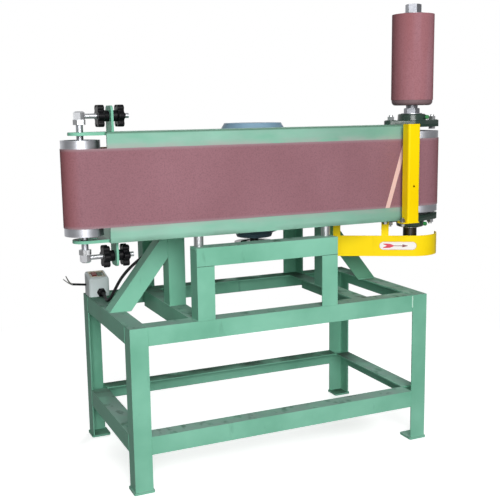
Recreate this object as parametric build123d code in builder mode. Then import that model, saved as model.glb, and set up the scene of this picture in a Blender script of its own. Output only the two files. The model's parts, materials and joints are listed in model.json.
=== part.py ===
from build123d import *
import os
from math import acos, atan2, cos, degrees, hypot, pi, radians, sin, tan

# Stationary vertical belt sander on a welded angle stand, in millimetres with +Z up.
# The origin is the middle of the machine's outline on the floor. +X runs along the belt to the
# drive end, and the operator stands in front, on the -Y side.

os.makedirs("parts", exist_ok=True)

# Stand of welded equal angle
stand_length = 928
stand_depth = 506
stand_height = 455
angle_leg = 50
angle_wall = 5
angle_root = 5
angle_toe = 2.5
stretcher_top = 155
stand_from_idler = 552
foot_size = 58
foot_thickness = 6
foot_overhang = 4
foot_corner = 5

# Posts, braces and bridge that carry the head
post_spread = 566
left_post_setback = 207
right_post_setback = 233
brace_run = 177
bridge_start = 190
bridge_length = 428
bridge_rise = 197
spacer_height = 28
spacer_diameter = 26
spacer_inset = 20
spacer_setback = 36

# Head: platen, plates and web
head_height = 281
head_setback = 25
plate_thickness = 8
platen_thickness = 6
platen_start = 56
platen_stop = 62
platen_edge = 2.5
top_plate_depth = 84
bottom_plate_depth = 263
motor_cut_out = 8
web_thickness = 6
web_inset = 66
rib_count = 3
tongue_radius = 31
seat_margin = 4
shaft_clearance = 5
slot_behind = 8
tension_travel = 20

# Belt and drums
axis_distance = 1024
belt_width = 200
belt_thickness = 1.2
belt_gap = 0.3
drum_face = 242
drum_recess = 5
drum_end = 16
drum_holes = 6
idler_diameter = 100
idler_wall = 6
idler_hole = 12
drive_diameter = 160
drive_wall = 7
drive_hole = 26
drive_hub_wall = 9

# Idler axle and tension gear
idler_shaft_diameter = 18
idler_bearing_diameter = 40
idler_bearing_width = 12
nut_flats = 28
nut_height = 13
rod_offset = 180.5
rod_diameter = 13
rod_reach = 128
eye_flats = 26
eye_height = 21
eye_below = 8.5
eye_chamfer = 3.5
eye_turn = 30
bracket_start = 75.5
bracket_thickness = 6
bracket_width = 55
bracket_height = 66
bracket_corner = 14
knob_diameter = 62
knob_lobes = 6
knob_lobe_radius = 8.5
knob_notch = 2.5
knob_head = 17
knob_hub_diameter = 28
knob_hub = 14
knob_edge = 3
knob_draft = 3

# Drive shaft, bearings and sanding drum
shaft_diameter = 42
shaft_chamfer = 1.5
spindle_diameter = 28
collar_diameter = 35
bolt_pitch = 150
ear_radius = 20
ear_pad_inset = 4
ear_pad_rise = 1
flange_waist = 50
flange_thickness = 12
flange_edge = 2.5
boss_diameter = 86
boss_height = 31
boss_draft = 4
boss_fillet = 5
insert_diameter = 62
insert_proud = 2
insert_lift = 1
bolt_diameter = 12
bolt_flats = 19
bolt_head = 7.5
bolt_nut = 10
bolt_proud = 5
grease_boss = 14
grease_rise = 21
grease_proud = 3
grease_turn = 60
sanding_gap = 8
sanding_height = 266
sanding_diameter = 125
sanding_edge = 12
sleeve_thickness = 1.5
sleeve_height = 250
washer_diameter = 70
washer_thickness = 4
spindle_nut_flats = 41
spindle_nut_height = 26
spindle_nut_turn = 20
lock_nut_height = 15

# Stop bar at the drive end of the platen
stop_from_drive = 77
stop_width = 40
stop_depth = 30
stop_wall = 3
stop_gap = 18
stop_reach = 284
stop_corner = 6
stop_tab = 46
stop_lug = 15
stop_hole = 7
stop_hole_rise = 105

# Pulleys, V-belt and guard
pulley_width = 26
driven_diameter = 112
motor_pulley_diameter = 125
groove_half = 8.8
groove_depth = 13
groove_half_angle = 19
v_belt_drop = 0.5
v_belt_height = 11
v_belt_gap = 0.3
pulley_recess = 6
pulley_hub_wall = 10
pulley_lift = 5
guard_radius = 81
guard_wrap = 105
guard_front = 250
guard_rear = 165
guard_drop = 50
guard_height = 63
guard_wall = 2
strap_places = (80, 225)
strap_width = 22
strap_thickness = 4
strap_lap = 34
strap_tab = 26

# Motor on the rear posts
motor_from_middle = 53
motor_shaft_height = 105
motor_gap = 17
motor_diameter = 200
motor_core = 176
motor_fins = 32
motor_fin = 4
fin_root = 2
fin_shy = 2
fin_end = 6
motor_shield = 24
motor_nose = 110
motor_nose_draft = 4
motor_barrel = 256
cowl_height = 86
cowl_cone = 20
cowl_taper = 12
cowl_sheet = 1.5
cowl_flange = 12
cowl_rings = 4
cowl_ring_pitch = 17
cowl_hole = 10
motor_shaft_diameter = 28
motor_shaft_reach = 60
motor_shaft_chamfer = 1
foot_rows = (58, 198)
motor_foot_pitch = 160
motor_pad = 12
motor_foot_web = 14
rear_post_over = 10
terminal_width = 62
terminal_depth = 84
terminal_height = 90
terminal_rise = 140
terminal_root = 12
terminal_corner = 6
fan_blades = 7
fan_radius = 78
fan_height = 30
fan_gap = 4
fan_hub_wall = 6
fan_root = 2
fan_blade = 3

# Switch box and leads
switch_setback = 431
switch_inset = 2
switch_width = 63
switch_depth = 62
switch_front = 57
switch_rise = 16
switch_corner = 8
panel_width = 42
panel_depth = 36
panel_recess = 3
button_width = 14
button_depth = 22
button_height = 9
button_pitch = 17
button_travel = 3
button_corner = 1.5
stop_button_proud = 2
gland_height = 13
gland_from_side = 36
gland_flats = 24
gland_nut = 6
gland_diameter = 21
gland_length = 17
gland_edge = 3
lead_diameter = 9
lead_straight = 14
lead_on_rail = ((-2, -38, 9), (-7, -68, 7.5), (-9, -92, 9), (-6, -112, 20), (1, -125, 39))
lead_to_brace = ((11, -131.5, 62), (25, -135.5, 85), (44, -140, 107), (67, -144, 127))
lead_past_post = ((-50, 16, 143), (-14, 30, 160), (24, 50, 178), (64, 74, 195), (104, 91, 207))
lead_to_motor = ((-72, -1, 213), (-40, 0, 218), (-13, 0, 236), (0, 0, 264))
supply_diameter = 7
supply_setback = 44
supply_rise = 32
supply_places = ((-22, 0, 0), (-44, -1, 2))
wire_diameter = 2.2
wire_spread = 2
wire_straight = 9
wire_tips = ((-22, -5, 24), (-26, 2, 18), (-20, 6, 27))

# Clearances
press_gap = 0.02
running_gap = 0.05
sliding_gap = 0.3

# Places worked out from the sizes above
belt_reach = idler_diameter / 2 + belt_gap + belt_thickness
bearing_reach = bolt_pitch / 2 + ear_radius
idler_x = -(axis_distance + bearing_reach - belt_reach) / 2
drive_x = idler_x + axis_distance
stand_x = idler_x + stand_from_idler
stop_front = stop_depth + stop_gap - head_setback
stand_y = (stop_front - foot_overhang) / 2

left = stand_x - stand_length / 2
right = stand_x + stand_length / 2
front = stand_y - stand_depth / 2
rear = stand_y + stand_depth / 2

post_left = stand_x - post_spread / 2
post_right = stand_x + post_spread / 2
left_post_y = front + left_post_setback
right_post_y = front + right_post_setback
bridge_left = left + bridge_start
bridge_right = bridge_left + bridge_length
bridge_top = stand_height + bridge_rise
head_base = bridge_top + spacer_height
head_top = head_base + head_height
belt_mid = head_base + head_height / 2
platen_y = front + head_setback
platen_left = idler_x + platen_start
platen_right = drive_x - platen_stop
platen_length = platen_right - platen_left
idler_y = platen_y + idler_diameter / 2
drive_y = platen_y + drive_diameter / 2
guard_base = head_base - guard_drop - guard_height
drive_plane = guard_base + guard_wall + pulley_lift + pulley_width / 2
motor_x = stand_x + motor_from_middle
motor_face = rear - angle_leg
motor_y = motor_face - motor_shaft_height
motor_base = drive_plane + pulley_width / 2 + motor_gap
rear_post_top = motor_base + foot_rows[-1] + angle_leg / 2 + rear_post_over
guard_angle = degrees(atan2(motor_y - drive_y, motor_x - drive_x))

EAST, WEST = (1, 0, 0), (-1, 0, 0)
NORTH, SOUTH = (0, 1, 0), (0, -1, 0)
UP, DOWN = (0, 0, 1), (0, 0, -1)
ON_FLOOR = (Align.CENTER, Align.CENTER, Align.MIN)
FROM_CORNER = (Align.MIN, Align.MIN, Align.MIN)


def finish(piece, name):
    """Name a finished piece and write it."""
    piece.part.label = name
    export_step(piece.part, f"parts/{name}.step")


# Stand

with BuildSketch() as angle_profile:
    # Rolled equal angle, outer corner at the origin, legs along x and y
    with BuildLine():
        Polyline(
            (0, 0),
            (angle_leg, 0),
            (angle_leg, angle_wall),
            (angle_wall, angle_wall),
            (angle_wall, angle_leg),
            (0, angle_leg),
            close=True,
        )
    make_face()
    fillet(vertices().sort_by_distance((angle_wall, angle_wall))[0], radius=angle_root)
    toes = [
        vertices().sort_by_distance(toe)[0]
        for toe in ((angle_leg, angle_wall), (angle_wall, angle_leg))
    ]
    fillet(toes, radius=angle_toe)


def angle_length(corner, end, leg_a, leg_b):
    """A straight length of angle, its outer corner running from corner to end."""
    along = Vector(*end) - Vector(*corner)
    right_handed = Vector(*leg_a).cross(Vector(*leg_b)).dot(along) > 0
    with BuildPart(mode=Mode.PRIVATE) as length:
        with BuildSketch(Plane(corner, x_dir=leg_a if right_handed else leg_b, z_dir=along)):
            add(angle_profile.sketch)
        extrude(amount=along.length)
    return length.part


def stand_corners():
    """Name, place and inward directions of the stand's four corners."""
    for end, y, inward_y in (("front", front, NORTH), ("rear", rear, SOUTH)):
        for side, x, inward_x in (("left", left, EAST), ("right", right, WEST)):
            yield f"leg_{end}_{side}", x, y, inward_x, inward_y


for leg_name, x, y, inward_x, inward_y in stand_corners():
    with BuildPart() as leg:
        top = stand_height - angle_wall
        add(angle_length((x, y, foot_thickness), (x, y, top), inward_x, inward_y))
    finish(leg, leg_name)

with BuildPart() as foot_plates:
    foot_step = foot_size / 2 - foot_overhang
    for _, x, y, inward_x, inward_y in stand_corners():
        with Locations((x + foot_step * inward_x[0], y + foot_step * inward_y[1])):
            Box(foot_size, foot_size, foot_thickness, align=ON_FLOOR)
    fillet(foot_plates.edges().filter_by(Axis.Z), radius=foot_corner)
finish(foot_plates, "foot_plates")

for rail_name, y, inward in (("front_rail", front, NORTH), ("rear_rail", rear, SOUTH)):
    with BuildPart() as long_rail:
        start = (left + angle_leg, y, stand_height)
        end = (right - angle_leg, y, stand_height)
        add(angle_length(start, end, DOWN, inward))
    finish(long_rail, rail_name)

# The side rails' top flanges cover the legs, which stand in notches of the upright flanges.
for rail_name, x, inward in (("left_rail", left, EAST), ("right_rail", right, WEST)):
    with BuildPart() as side_rail:
        add(angle_length((x, front, stand_height), (x, rear, stand_height), DOWN, inward))
        for y in (front + angle_leg / 2, rear - angle_leg / 2):
            with Locations((x + inward[0] * angle_leg / 2, y, stand_height - angle_leg)):
                notch = angle_leg - angle_wall
                Box(angle_leg, angle_leg, notch, align=ON_FLOOR, mode=Mode.SUBTRACT)
    finish(side_rail, rail_name)

with BuildPart() as long_stretchers:
    for y, inward in ((front, NORTH), (rear, SOUTH)):
        start = (left + angle_leg, y, stretcher_top)
        end = (right - angle_leg, y, stretcher_top)
        add(angle_length(start, end, DOWN, inward))
finish(long_stretchers, "long_stretchers")

with BuildPart() as short_stretchers:
    for x, inward in ((left, EAST), (right, WEST)):
        start = (x, front + angle_leg, stretcher_top)
        end = (x, rear - angle_leg, stretcher_top)
        add(angle_length(start, end, DOWN, inward))
finish(short_stretchers, "short_stretchers")

with BuildPart() as cross_rails:
    for x, inward in ((post_left, EAST), (post_right, WEST)):
        start = (x, front + angle_leg, stand_height)
        end = (x, rear - angle_leg, stand_height)
        add(angle_length(start, end, DOWN, inward))
finish(cross_rails, "cross_rails")

# Posts, braces and bridge

with BuildPart() as front_posts:
    for x, y in ((post_left, left_post_y), (post_right - angle_leg, right_post_y)):
        add(angle_length((x, y, stand_height), (x, y, head_base), EAST, NORTH))
finish(front_posts, "front_posts")

with BuildPart() as rear_posts:
    for x, inward in ((post_left, EAST), (post_right, WEST)):
        add(angle_length((x, rear, stand_height), (x, rear, rear_post_top), inward, SOUTH))
finish(rear_posts, "rear_posts")

brace_rise = head_base - stand_height
brace_width = angle_leg * hypot(brace_run, brace_rise) / brace_rise
brace_edge = angle_wall * hypot(brace_run, brace_rise) / brace_rise


def brace_flange(y, foot_x, lean, width, depth, cut):
    """A leaning flange seen from the front, cut level at both ends and upright at x = cut."""
    with BuildSketch(Plane.XZ.offset(-y)) as flange:
        with BuildLine():
            Polyline(
                (foot_x, stand_height),
                (foot_x + lean * width, stand_height),
                (foot_x + lean * (width + brace_run), head_base),
                (foot_x + lean * brace_run, head_base),
                close=True,
            )
        make_face()
        if cut is not None:
            with Locations((cut + lean * width, stand_height)):
                Rectangle(2 * width, 2 * brace_rise, mode=Mode.SUBTRACT)
    extrude(flange.sketch, amount=-depth)


# The left brace stands in the left post's plane and stops at its edge.
with BuildPart() as left_brace:
    left_foot = post_left - brace_run
    brace_flange(left_post_y, left_foot, 1, brace_width, angle_wall, post_left)
    brace_flange(left_post_y, left_foot, 1, brace_edge, angle_leg, post_left)
finish(left_brace, "left_brace")

# The right brace passes behind the right post and reaches the head.
with BuildPart() as right_brace:
    right_foot = post_right + brace_run
    right_brace_y = right_post_y + angle_leg
    brace_flange(right_brace_y, right_foot, -1, brace_width, angle_wall, None)
    brace_flange(right_brace_y, right_foot, -1, brace_edge, angle_leg, None)
finish(right_brace, "right_brace")

with BuildPart() as bridge_rail:
    start = (bridge_left, front, bridge_top)
    end = (bridge_right, front, bridge_top)
    add(angle_length(start, end, DOWN, NORTH))
finish(bridge_rail, "bridge_rail")

# Each bridge post is coped to the rail, its side flange running up under the rail's top flange.
with BuildPart() as bridge_posts:
    post_top = bridge_top - angle_wall
    for x, inward in ((bridge_left, EAST), (bridge_right, WEST)):
        add(angle_length((x, front, stand_height), (x, front, post_top), inward, NORTH))
    with BuildSketch(Plane.YZ.offset(bridge_left)):
        rail_back = front + angle_wall
        with BuildLine():
            Polyline(
                (front, bridge_top - angle_leg),
                (rail_back, bridge_top - angle_leg),
                (rail_back, post_top - angle_root),
                (rail_back + angle_root, post_top),
                (front, post_top),
                close=True,
            )
        make_face()
    extrude(amount=bridge_length, mode=Mode.SUBTRACT)
finish(bridge_posts, "bridge_posts")

with BuildPart() as bridge_spacers:
    spacer_y = front + spacer_setback
    for x in (bridge_left + spacer_inset, bridge_right - spacer_inset):
        with Locations((x, spacer_y, bridge_top)):
            Cylinder(spacer_diameter / 2, spacer_height, align=ON_FLOOR)
finish(bridge_spacers, "bridge_spacers")

# Head

with BuildPart() as platen:
    with Locations((platen_left, platen_y, head_base)):
        Box(platen_length, platen_thickness, head_height, align=FROM_CORNER)
    fillet(platen.edges().filter_by(Axis.Z).group_by(Axis.Y)[0], radius=platen_edge)
finish(platen, "platen")

with BuildSketch() as bearing_seat:
    Circle(flange_waist + seat_margin)
    with GridLocations(bolt_pitch, 0, 2, 1):
        Circle(ear_radius)
    make_hull()


def head_plate(base, depth):
    """A plate behind the platen with a slotted tongue at the idler and a seat at the drive."""
    with BuildSketch(Plane.XY.offset(base)) as outline:
        back = platen_y + platen_thickness
        with Locations((platen_left, back)):
            deck = depth - platen_thickness
            Rectangle(platen_length, deck, align=(Align.MIN, Align.MIN))
        with Locations((idler_x, idler_y)):
            Circle(tongue_radius)
            reach = platen_start + tongue_radius
            Rectangle(reach, 2 * tongue_radius, align=(Align.MIN, Align.CENTER))
        with Locations((drive_x, drive_y)):
            add(bearing_seat.sketch)
        slot = slot_behind + tension_travel + slot_behind
        with Locations((idler_x + slot / 2 - slot_behind, idler_y)):
            SlotCenterToCenter(
                slot, idler_shaft_diameter + 2 * sliding_gap, mode=Mode.SUBTRACT
            )
        with Locations((drive_x, drive_y)):
            Circle(shaft_diameter / 2 + shaft_clearance, mode=Mode.SUBTRACT)
            with GridLocations(bolt_pitch, 0, 2, 1):
                Circle(bolt_diameter / 2 + press_gap, mode=Mode.SUBTRACT)
    extrude(outline.sketch, amount=plate_thickness)


with BuildPart() as top_plate:
    head_plate(head_top - plate_thickness, top_plate_depth)
finish(top_plate, "top_plate")

with BuildPart() as bottom_plate:
    head_plate(head_base, bottom_plate_depth)
    # Cut out round the motor, which stands close behind
    with Locations((motor_x, motor_y, head_base)):
        cut_out = motor_diameter / 2 + motor_cut_out
        Cylinder(cut_out, 3 * plate_thickness, mode=Mode.SUBTRACT)
finish(bottom_plate, "bottom_plate")

web_left = platen_left + web_inset
web_right = platen_right - web_inset
web_back = platen_y + top_plate_depth
inside_base = head_base + plate_thickness
inside_height = head_height - 2 * plate_thickness

with BuildPart() as rear_web:
    with Locations((web_left, web_back - web_thickness, inside_base)):
        Box(web_right - web_left, web_thickness, inside_height, align=FROM_CORNER)
finish(rear_web, "rear_web")

with BuildPart() as head_ribs:
    rib_front = platen_y + platen_thickness
    rib_depth = web_back - web_thickness - rib_front
    rib_step = (web_right - web_left - web_thickness) / (rib_count - 1)
    for i in range(rib_count):
        with Locations((web_left + i * rib_step, rib_front, inside_base)):
            Box(web_thickness, rib_depth, inside_height, align=FROM_CORNER)
finish(head_ribs, "head_ribs")

# Idler and tension gear

bracket_x = idler_x + bracket_start
SIDES = (("upper", 1, head_top), ("lower", -1, head_base))

with BuildPart() as tension_brackets:
    for _, way, foot in SIDES:
        with BuildSketch(Plane.YZ.offset(bracket_x)):
            with Locations((idler_y, foot + way * bracket_height / 2)):
                Rectangle(bracket_width, bracket_height)
            tip = vertices().group_by(Axis.Y)[-1 if way > 0 else 0]
            fillet(tip, radius=bracket_corner)
            with Locations((idler_y, belt_mid + way * rod_offset)):
                Circle(rod_diameter / 2 + 2 * sliding_gap, mode=Mode.SUBTRACT)
        extrude(amount=bracket_thickness)
finish(tension_brackets, "tension_brackets")

eye_near = rod_offset - eye_below

with BuildPart() as idler_shaft:
    with Locations((idler_x, idler_y, belt_mid)):
        Cylinder(idler_shaft_diameter / 2, 2 * eye_near)
finish(idler_shaft, "idler_shaft")

with BuildPart() as shaft_nuts:
    for _, way, _ in SIDES:
        nut_plane = Plane((idler_x, idler_y, belt_mid + way * eye_near), z_dir=(0, 0, -way))
        with BuildSketch(nut_plane):
            RegularPolygon(nut_flats / 2, 6, major_radius=False)
            Circle(idler_shaft_diameter / 2 + press_gap, mode=Mode.SUBTRACT)
        extrude(amount=nut_height)
finish(shaft_nuts, "shaft_nuts")

# Each rod is screwed into a hexagonal eye on the end of the idler's axle.
with BuildPart() as tension_rods:
    for _, way, _ in SIDES:
        eye_plane = Plane((idler_x, idler_y, belt_mid + way * eye_near), z_dir=(0, 0, way))
        with BuildSketch(eye_plane):
            RegularPolygon(eye_flats / 2, 6, major_radius=False, rotation=eye_turn)
        eye = extrude(amount=eye_height)
        crown = eye.faces().sort_by(Axis.Z)[-1 if way > 0 else 0].edges()
        chamfer(crown, length=eye_chamfer)
        with BuildSketch(Plane.YZ.offset(idler_x)):
            with Locations((idler_y, belt_mid + way * rod_offset)):
                Circle(rod_diameter / 2)
        extrude(amount=rod_reach)
finish(tension_rods, "tension_rods")


def drum(x, y, radius, wall, bore, hub, holes_at, hole):
    """A belt drum: tube, two recessed end discs with holes, and a hub tube if it has one."""
    half = drum_face / 2
    disc = half - drum_recess
    with BuildSketch(Plane((x, y, belt_mid), x_dir=EAST, z_dir=SOUTH)) as section:
        with Locations((radius - wall, -half)):
            Rectangle(wall, drum_face, align=(Align.MIN, Align.MIN))
        for low in (disc - drum_end, -disc):
            with Locations((bore, low)):
                Rectangle(radius - wall / 2 - bore, drum_end, align=(Align.MIN, Align.MIN))
        if hub > bore:
            with Locations((bore, -disc)):
                Rectangle(hub - bore, 2 * disc, align=(Align.MIN, Align.MIN))
    revolve(section.sketch, axis=Axis((x, y, 0), UP))
    with Locations((x, y, belt_mid)):
        with PolarLocations(holes_at, drum_holes):
            Cylinder(hole / 2, drum_face, mode=Mode.SUBTRACT)


with BuildPart() as idler_drum:
    idler_bore = idler_bearing_diameter / 2 + running_gap
    idler_inner = idler_diameter / 2 - idler_wall
    ring = (idler_bore + idler_inner) / 2
    drum(idler_x, idler_y, idler_diameter / 2, idler_wall, idler_bore, 0, ring, idler_hole)
finish(idler_drum, "idler_drum")

with BuildPart() as idler_bearings:
    bearing_z = drum_face / 2 - drum_recess - drum_end / 2
    for way in (1, -1):
        with Locations((idler_x, idler_y, belt_mid + way * bearing_z)):
            Cylinder(idler_bearing_diameter / 2, idler_bearing_width)
            bore = idler_shaft_diameter / 2 + press_gap
            Cylinder(bore, idler_bearing_width, mode=Mode.SUBTRACT)
finish(idler_bearings, "idler_bearings")


def star_knob(face_x, rod_z, facing):
    """A lobed clamping knob on the rod, its hub towards the bracket."""
    seat = Plane((face_x, idler_y, rod_z), x_dir=NORTH, z_dir=facing)
    with BuildSketch(seat) as hub:
        Circle(knob_hub_diameter / 2)
    extrude(hub.sketch, amount=knob_hub + knob_head / 2, taper=-knob_draft)
    with BuildSketch(seat.offset(knob_hub)) as lobes:
        core = knob_diameter / 2 - knob_lobe_radius
        Circle(core)
        with PolarLocations(core, knob_lobes):
            Circle(knob_lobe_radius)
        fillet(vertices(), radius=knob_notch)
    star = extrude(lobes.sketch, amount=knob_head)
    rims = star.faces().filter_by(Axis.X).edges()
    fillet(rims, radius=knob_edge)
    with BuildSketch(seat) as bore:
        Circle(rod_diameter / 2 + sliding_gap)
    extrude(bore.sketch, amount=knob_hub + knob_head, mode=Mode.SUBTRACT)


for level, way, _ in SIDES:
    rod_z = belt_mid + way * rod_offset
    with BuildPart() as outer_knob:
        star_knob(bracket_x - sliding_gap, rod_z, WEST)
    finish(outer_knob, f"{level}_outer_knob")
    with BuildPart() as inner_knob:
        star_knob(bracket_x + bracket_thickness + sliding_gap, rod_z, EAST)
    finish(inner_knob, f"{level}_inner_knob")

# Abrasive belt around both drums

def loop_outline(spread):
    """The outline of a tight band that stands off both drums by spread."""
    with BuildSketch(mode=Mode.PRIVATE) as loop:
        with Locations((idler_x, idler_y)):
            Circle(idler_diameter / 2 + spread)
        with Locations((drive_x, drive_y)):
            Circle(drive_diameter / 2 + spread)
        make_hull()
    return loop.sketch


band_outside = loop_outline(belt_gap + belt_thickness)
band_inside = loop_outline(belt_gap)

with BuildPart() as abrasive_belt:
    with BuildSketch(Plane.XY.offset(belt_mid - belt_width / 2)):
        add(band_outside)
        add(band_inside, mode=Mode.SUBTRACT)
    extrude(amount=belt_width)
finish(abrasive_belt, "abrasive_belt")

# Drive shaft, bearings and sanding drum

lock_nut_base = head_top + boss_height + insert_proud
sanding_base = lock_nut_base + lock_nut_height + sanding_gap
sanding_top = sanding_base + sanding_height
nut_base = sanding_top + washer_thickness
pulley_base = drive_plane - pulley_width / 2
shaft_top = nut_base + spindle_nut_height
DRIVE_AXIS = Axis((drive_x, drive_y, 0), UP)


def on_drive(z):
    """A level plane on the drive axis."""
    return Plane((drive_x, drive_y, z), x_dir=EAST, z_dir=UP)


with BuildPart() as drive_shaft:
    with BuildSketch(on_drive(pulley_base)):
        Circle(shaft_diameter / 2)
    extrude(amount=lock_nut_base - pulley_base)
    with BuildSketch(on_drive(lock_nut_base)):
        Circle(spindle_diameter / 2)
    extrude(amount=shaft_top - lock_nut_base)
    chamfer(drive_shaft.edges().group_by(Axis.Z)[0], length=shaft_chamfer)
finish(drive_shaft, "drive_shaft")

with BuildPart() as drive_drum:
    shaft_bore = shaft_diameter / 2 + press_gap
    hub_radius = shaft_bore + drive_hub_wall
    ring = (hub_radius + drive_diameter / 2 - drive_wall) / 2
    drum(drive_x, drive_y, drive_diameter / 2, drive_wall, shaft_bore, hub_radius, ring, drive_hole)
finish(drive_drum, "drive_drum")

with BuildSketch() as flange_outline:
    Circle(flange_waist)
    with GridLocations(bolt_pitch, 0, 2, 1):
        Circle(ear_radius)
    make_hull()


def flange_bearing(seat):
    """A cast two-bolt flange housing standing on seat."""
    with BuildSketch(seat) as foot:
        add(flange_outline.sketch)
    base = extrude(foot.sketch, amount=flange_thickness)
    rim = base.faces().sort_by(Axis(seat.origin, seat.z_dir))[-1].edges()
    fillet(rim, radius=flange_edge)
    with BuildSketch(seat.offset(flange_thickness / 2)) as round_boss:
        Circle(boss_diameter / 2)
    boss = extrude(round_boss.sketch, amount=boss_height - flange_thickness / 2, taper=boss_draft)
    crown = boss.faces().sort_by(Axis(seat.origin, seat.z_dir))[-1].edges()
    fillet(crown, radius=boss_fillet)
    ear_pads = seat.offset(flange_thickness - ear_pad_rise)
    with BuildSketch(ear_pads) as pads:
        with GridLocations(bolt_pitch, 0, 2, 1):
            Circle(ear_radius - ear_pad_inset)
    extrude(pads.sketch, amount=2 * ear_pad_rise)
    grease = seat.offset(grease_rise).rotated((0, 0, -grease_turn * seat.z_dir.Z))
    with BuildSketch(Plane(grease.origin, x_dir=grease.z_dir, z_dir=grease.x_dir)) as nipple:
        Circle(grease_boss / 2)
    extrude(nipple.sketch, amount=boss_diameter / 2 + grease_proud)
    with BuildSketch(seat) as bores:
        Circle(insert_diameter / 2 + running_gap)
        with GridLocations(bolt_pitch, 0, 2, 1):
            Circle(bolt_diameter / 2 + press_gap)
    extrude(bores.sketch, amount=2 * boss_height, mode=Mode.SUBTRACT)


upper_seat = on_drive(head_top)
lower_seat = Plane((drive_x, drive_y, head_base), x_dir=EAST, z_dir=DOWN)

with BuildPart() as bearing_housings:
    flange_bearing(upper_seat)
    flange_bearing(lower_seat)
finish(bearing_housings, "bearing_housings")

with BuildPart() as bearing_inserts:
    for seat in (upper_seat, lower_seat):
        with BuildSketch(seat.offset(insert_lift)):
            Circle(insert_diameter / 2)
            Circle(shaft_diameter / 2 + press_gap, mode=Mode.SUBTRACT)
        extrude(amount=boss_height + insert_proud - insert_lift)
finish(bearing_inserts, "bearing_inserts")

with BuildPart() as bearing_bolts:
    nut_seat = flange_thickness + ear_pad_rise
    bolt_tip = nut_seat + bolt_nut + bolt_proud
    for seat in (upper_seat, lower_seat):
        with BuildSketch(seat.offset(nut_seat)):
            with GridLocations(bolt_pitch, 0, 2, 1):
                RegularPolygon(bolt_flats / 2, 6, major_radius=False)
        extrude(amount=bolt_nut)
        with BuildSketch(seat.offset(bolt_tip)):
            with GridLocations(bolt_pitch, 0, 2, 1):
                Circle(bolt_diameter / 2)
        extrude(amount=-(bolt_tip + plate_thickness))
        with BuildSketch(seat.offset(-plate_thickness)):
            with GridLocations(bolt_pitch, 0, 2, 1):
                RegularPolygon(bolt_flats / 2, 6, major_radius=False)
        extrude(amount=-bolt_head)
finish(bearing_bolts, "bearing_bolts")

with BuildPart() as sanding_drum:
    core_radius = sanding_diameter / 2 - sleeve_thickness - press_gap
    with BuildSketch(on_drive(sanding_base)):
        Circle(core_radius)
        Circle(spindle_diameter / 2 + press_gap, mode=Mode.SUBTRACT)
    extrude(amount=sanding_height)
    outer_rim = sanding_drum.edges().group_by(Axis.Z)[0].sort_by(SortBy.RADIUS)[-1]
    fillet(outer_rim, radius=sanding_edge)
finish(sanding_drum, "sanding_drum")

with BuildPart() as abrasive_sleeve:
    with BuildSketch(on_drive(sanding_top - sleeve_height)):
        Circle(sanding_diameter / 2)
        Circle(sanding_diameter / 2 - sleeve_thickness, mode=Mode.SUBTRACT)
    extrude(amount=sleeve_height)
finish(abrasive_sleeve, "abrasive_sleeve")


def spindle_nut(base, height):
    """A hexagonal nut on the drive axis with its upper corners turned off."""
    with BuildSketch(on_drive(base)) as hexagon:
        RegularPolygon(spindle_nut_flats / 2, 6, major_radius=False, rotation=spindle_nut_turn)
        Circle(spindle_diameter / 2 + press_gap, mode=Mode.SUBTRACT)
    extrude(hexagon.sketch, amount=height)
    corner = spindle_nut_flats / 2 / cos(pi / 6)
    drop = (corner - spindle_nut_flats / 2) * tan(radians(30))
    with BuildSketch(Plane((drive_x, drive_y, base + height), x_dir=EAST, z_dir=SOUTH)) as bevel:
        with BuildLine():
            Polyline(
                (spindle_nut_flats / 2, 0),
                (corner + drop, 0),
                (corner + drop, -drop * (corner + drop) / corner),
                close=True,
            )
        make_face()
    revolve(bevel.sketch, axis=DRIVE_AXIS, mode=Mode.SUBTRACT)


with BuildPart() as drum_nuts:
    with BuildSketch(on_drive(sanding_top)):
        Circle(washer_diameter / 2)
        Circle(spindle_diameter / 2 + press_gap, mode=Mode.SUBTRACT)
    extrude(amount=washer_thickness)
    spindle_nut(nut_base, spindle_nut_height)
    # The lock nut carries a collar, and the drum stands on it.
    spindle_nut(lock_nut_base, lock_nut_height)
    with BuildSketch(on_drive(sanding_base - sanding_gap)):
        Circle(collar_diameter / 2)
        Circle(spindle_diameter / 2 + press_gap, mode=Mode.SUBTRACT)
    extrude(amount=sanding_gap)
finish(drum_nuts, "drum_nuts")

# Stop bar

stop_left = drive_x - stop_from_drive - stop_width / 2
stop_back = platen_y - stop_gap
stop_front_y = stop_back - stop_depth

with BuildPart() as stop_bar:
    with BuildSketch(Plane.XY.offset(head_base)):
        with Locations((stop_left, stop_front_y)):
            Rectangle(stop_width, stop_depth, align=(Align.MIN, Align.MIN))
        fillet(vertices().group_by(Axis.Y)[0], radius=stop_corner)
        with Locations((stop_left + stop_wall, stop_front_y + stop_wall)):
            Rectangle(
                stop_width - 2 * stop_wall,
                stop_depth,
                align=(Align.MIN, Align.MIN),
                mode=Mode.SUBTRACT,
            )
    extrude(amount=stop_reach)
    with BuildSketch(Plane.XY.offset(head_base - stop_wall)):
        with Locations((stop_left, stop_front_y)):
            reach = stop_depth + stop_gap + stop_tab
            Rectangle(stop_width, reach, align=(Align.MIN, Align.MIN))
            Rectangle(stop_lug, stop_depth, align=(Align.MAX, Align.MIN))
    extrude(amount=stop_wall)
    hole_plane = Plane(
        (stop_left + stop_width / 2, stop_front_y, head_base + stop_hole_rise), z_dir=SOUTH
    )
    with Locations(hole_plane):
        Cylinder(stop_hole / 2, 3 * stop_wall, mode=Mode.SUBTRACT)
finish(stop_bar, "stop_bar")

# Pulleys, V-belt and guard

groove_slope = tan(radians(groove_half_angle))
groove_floor = groove_half - groove_depth * groove_slope


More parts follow.
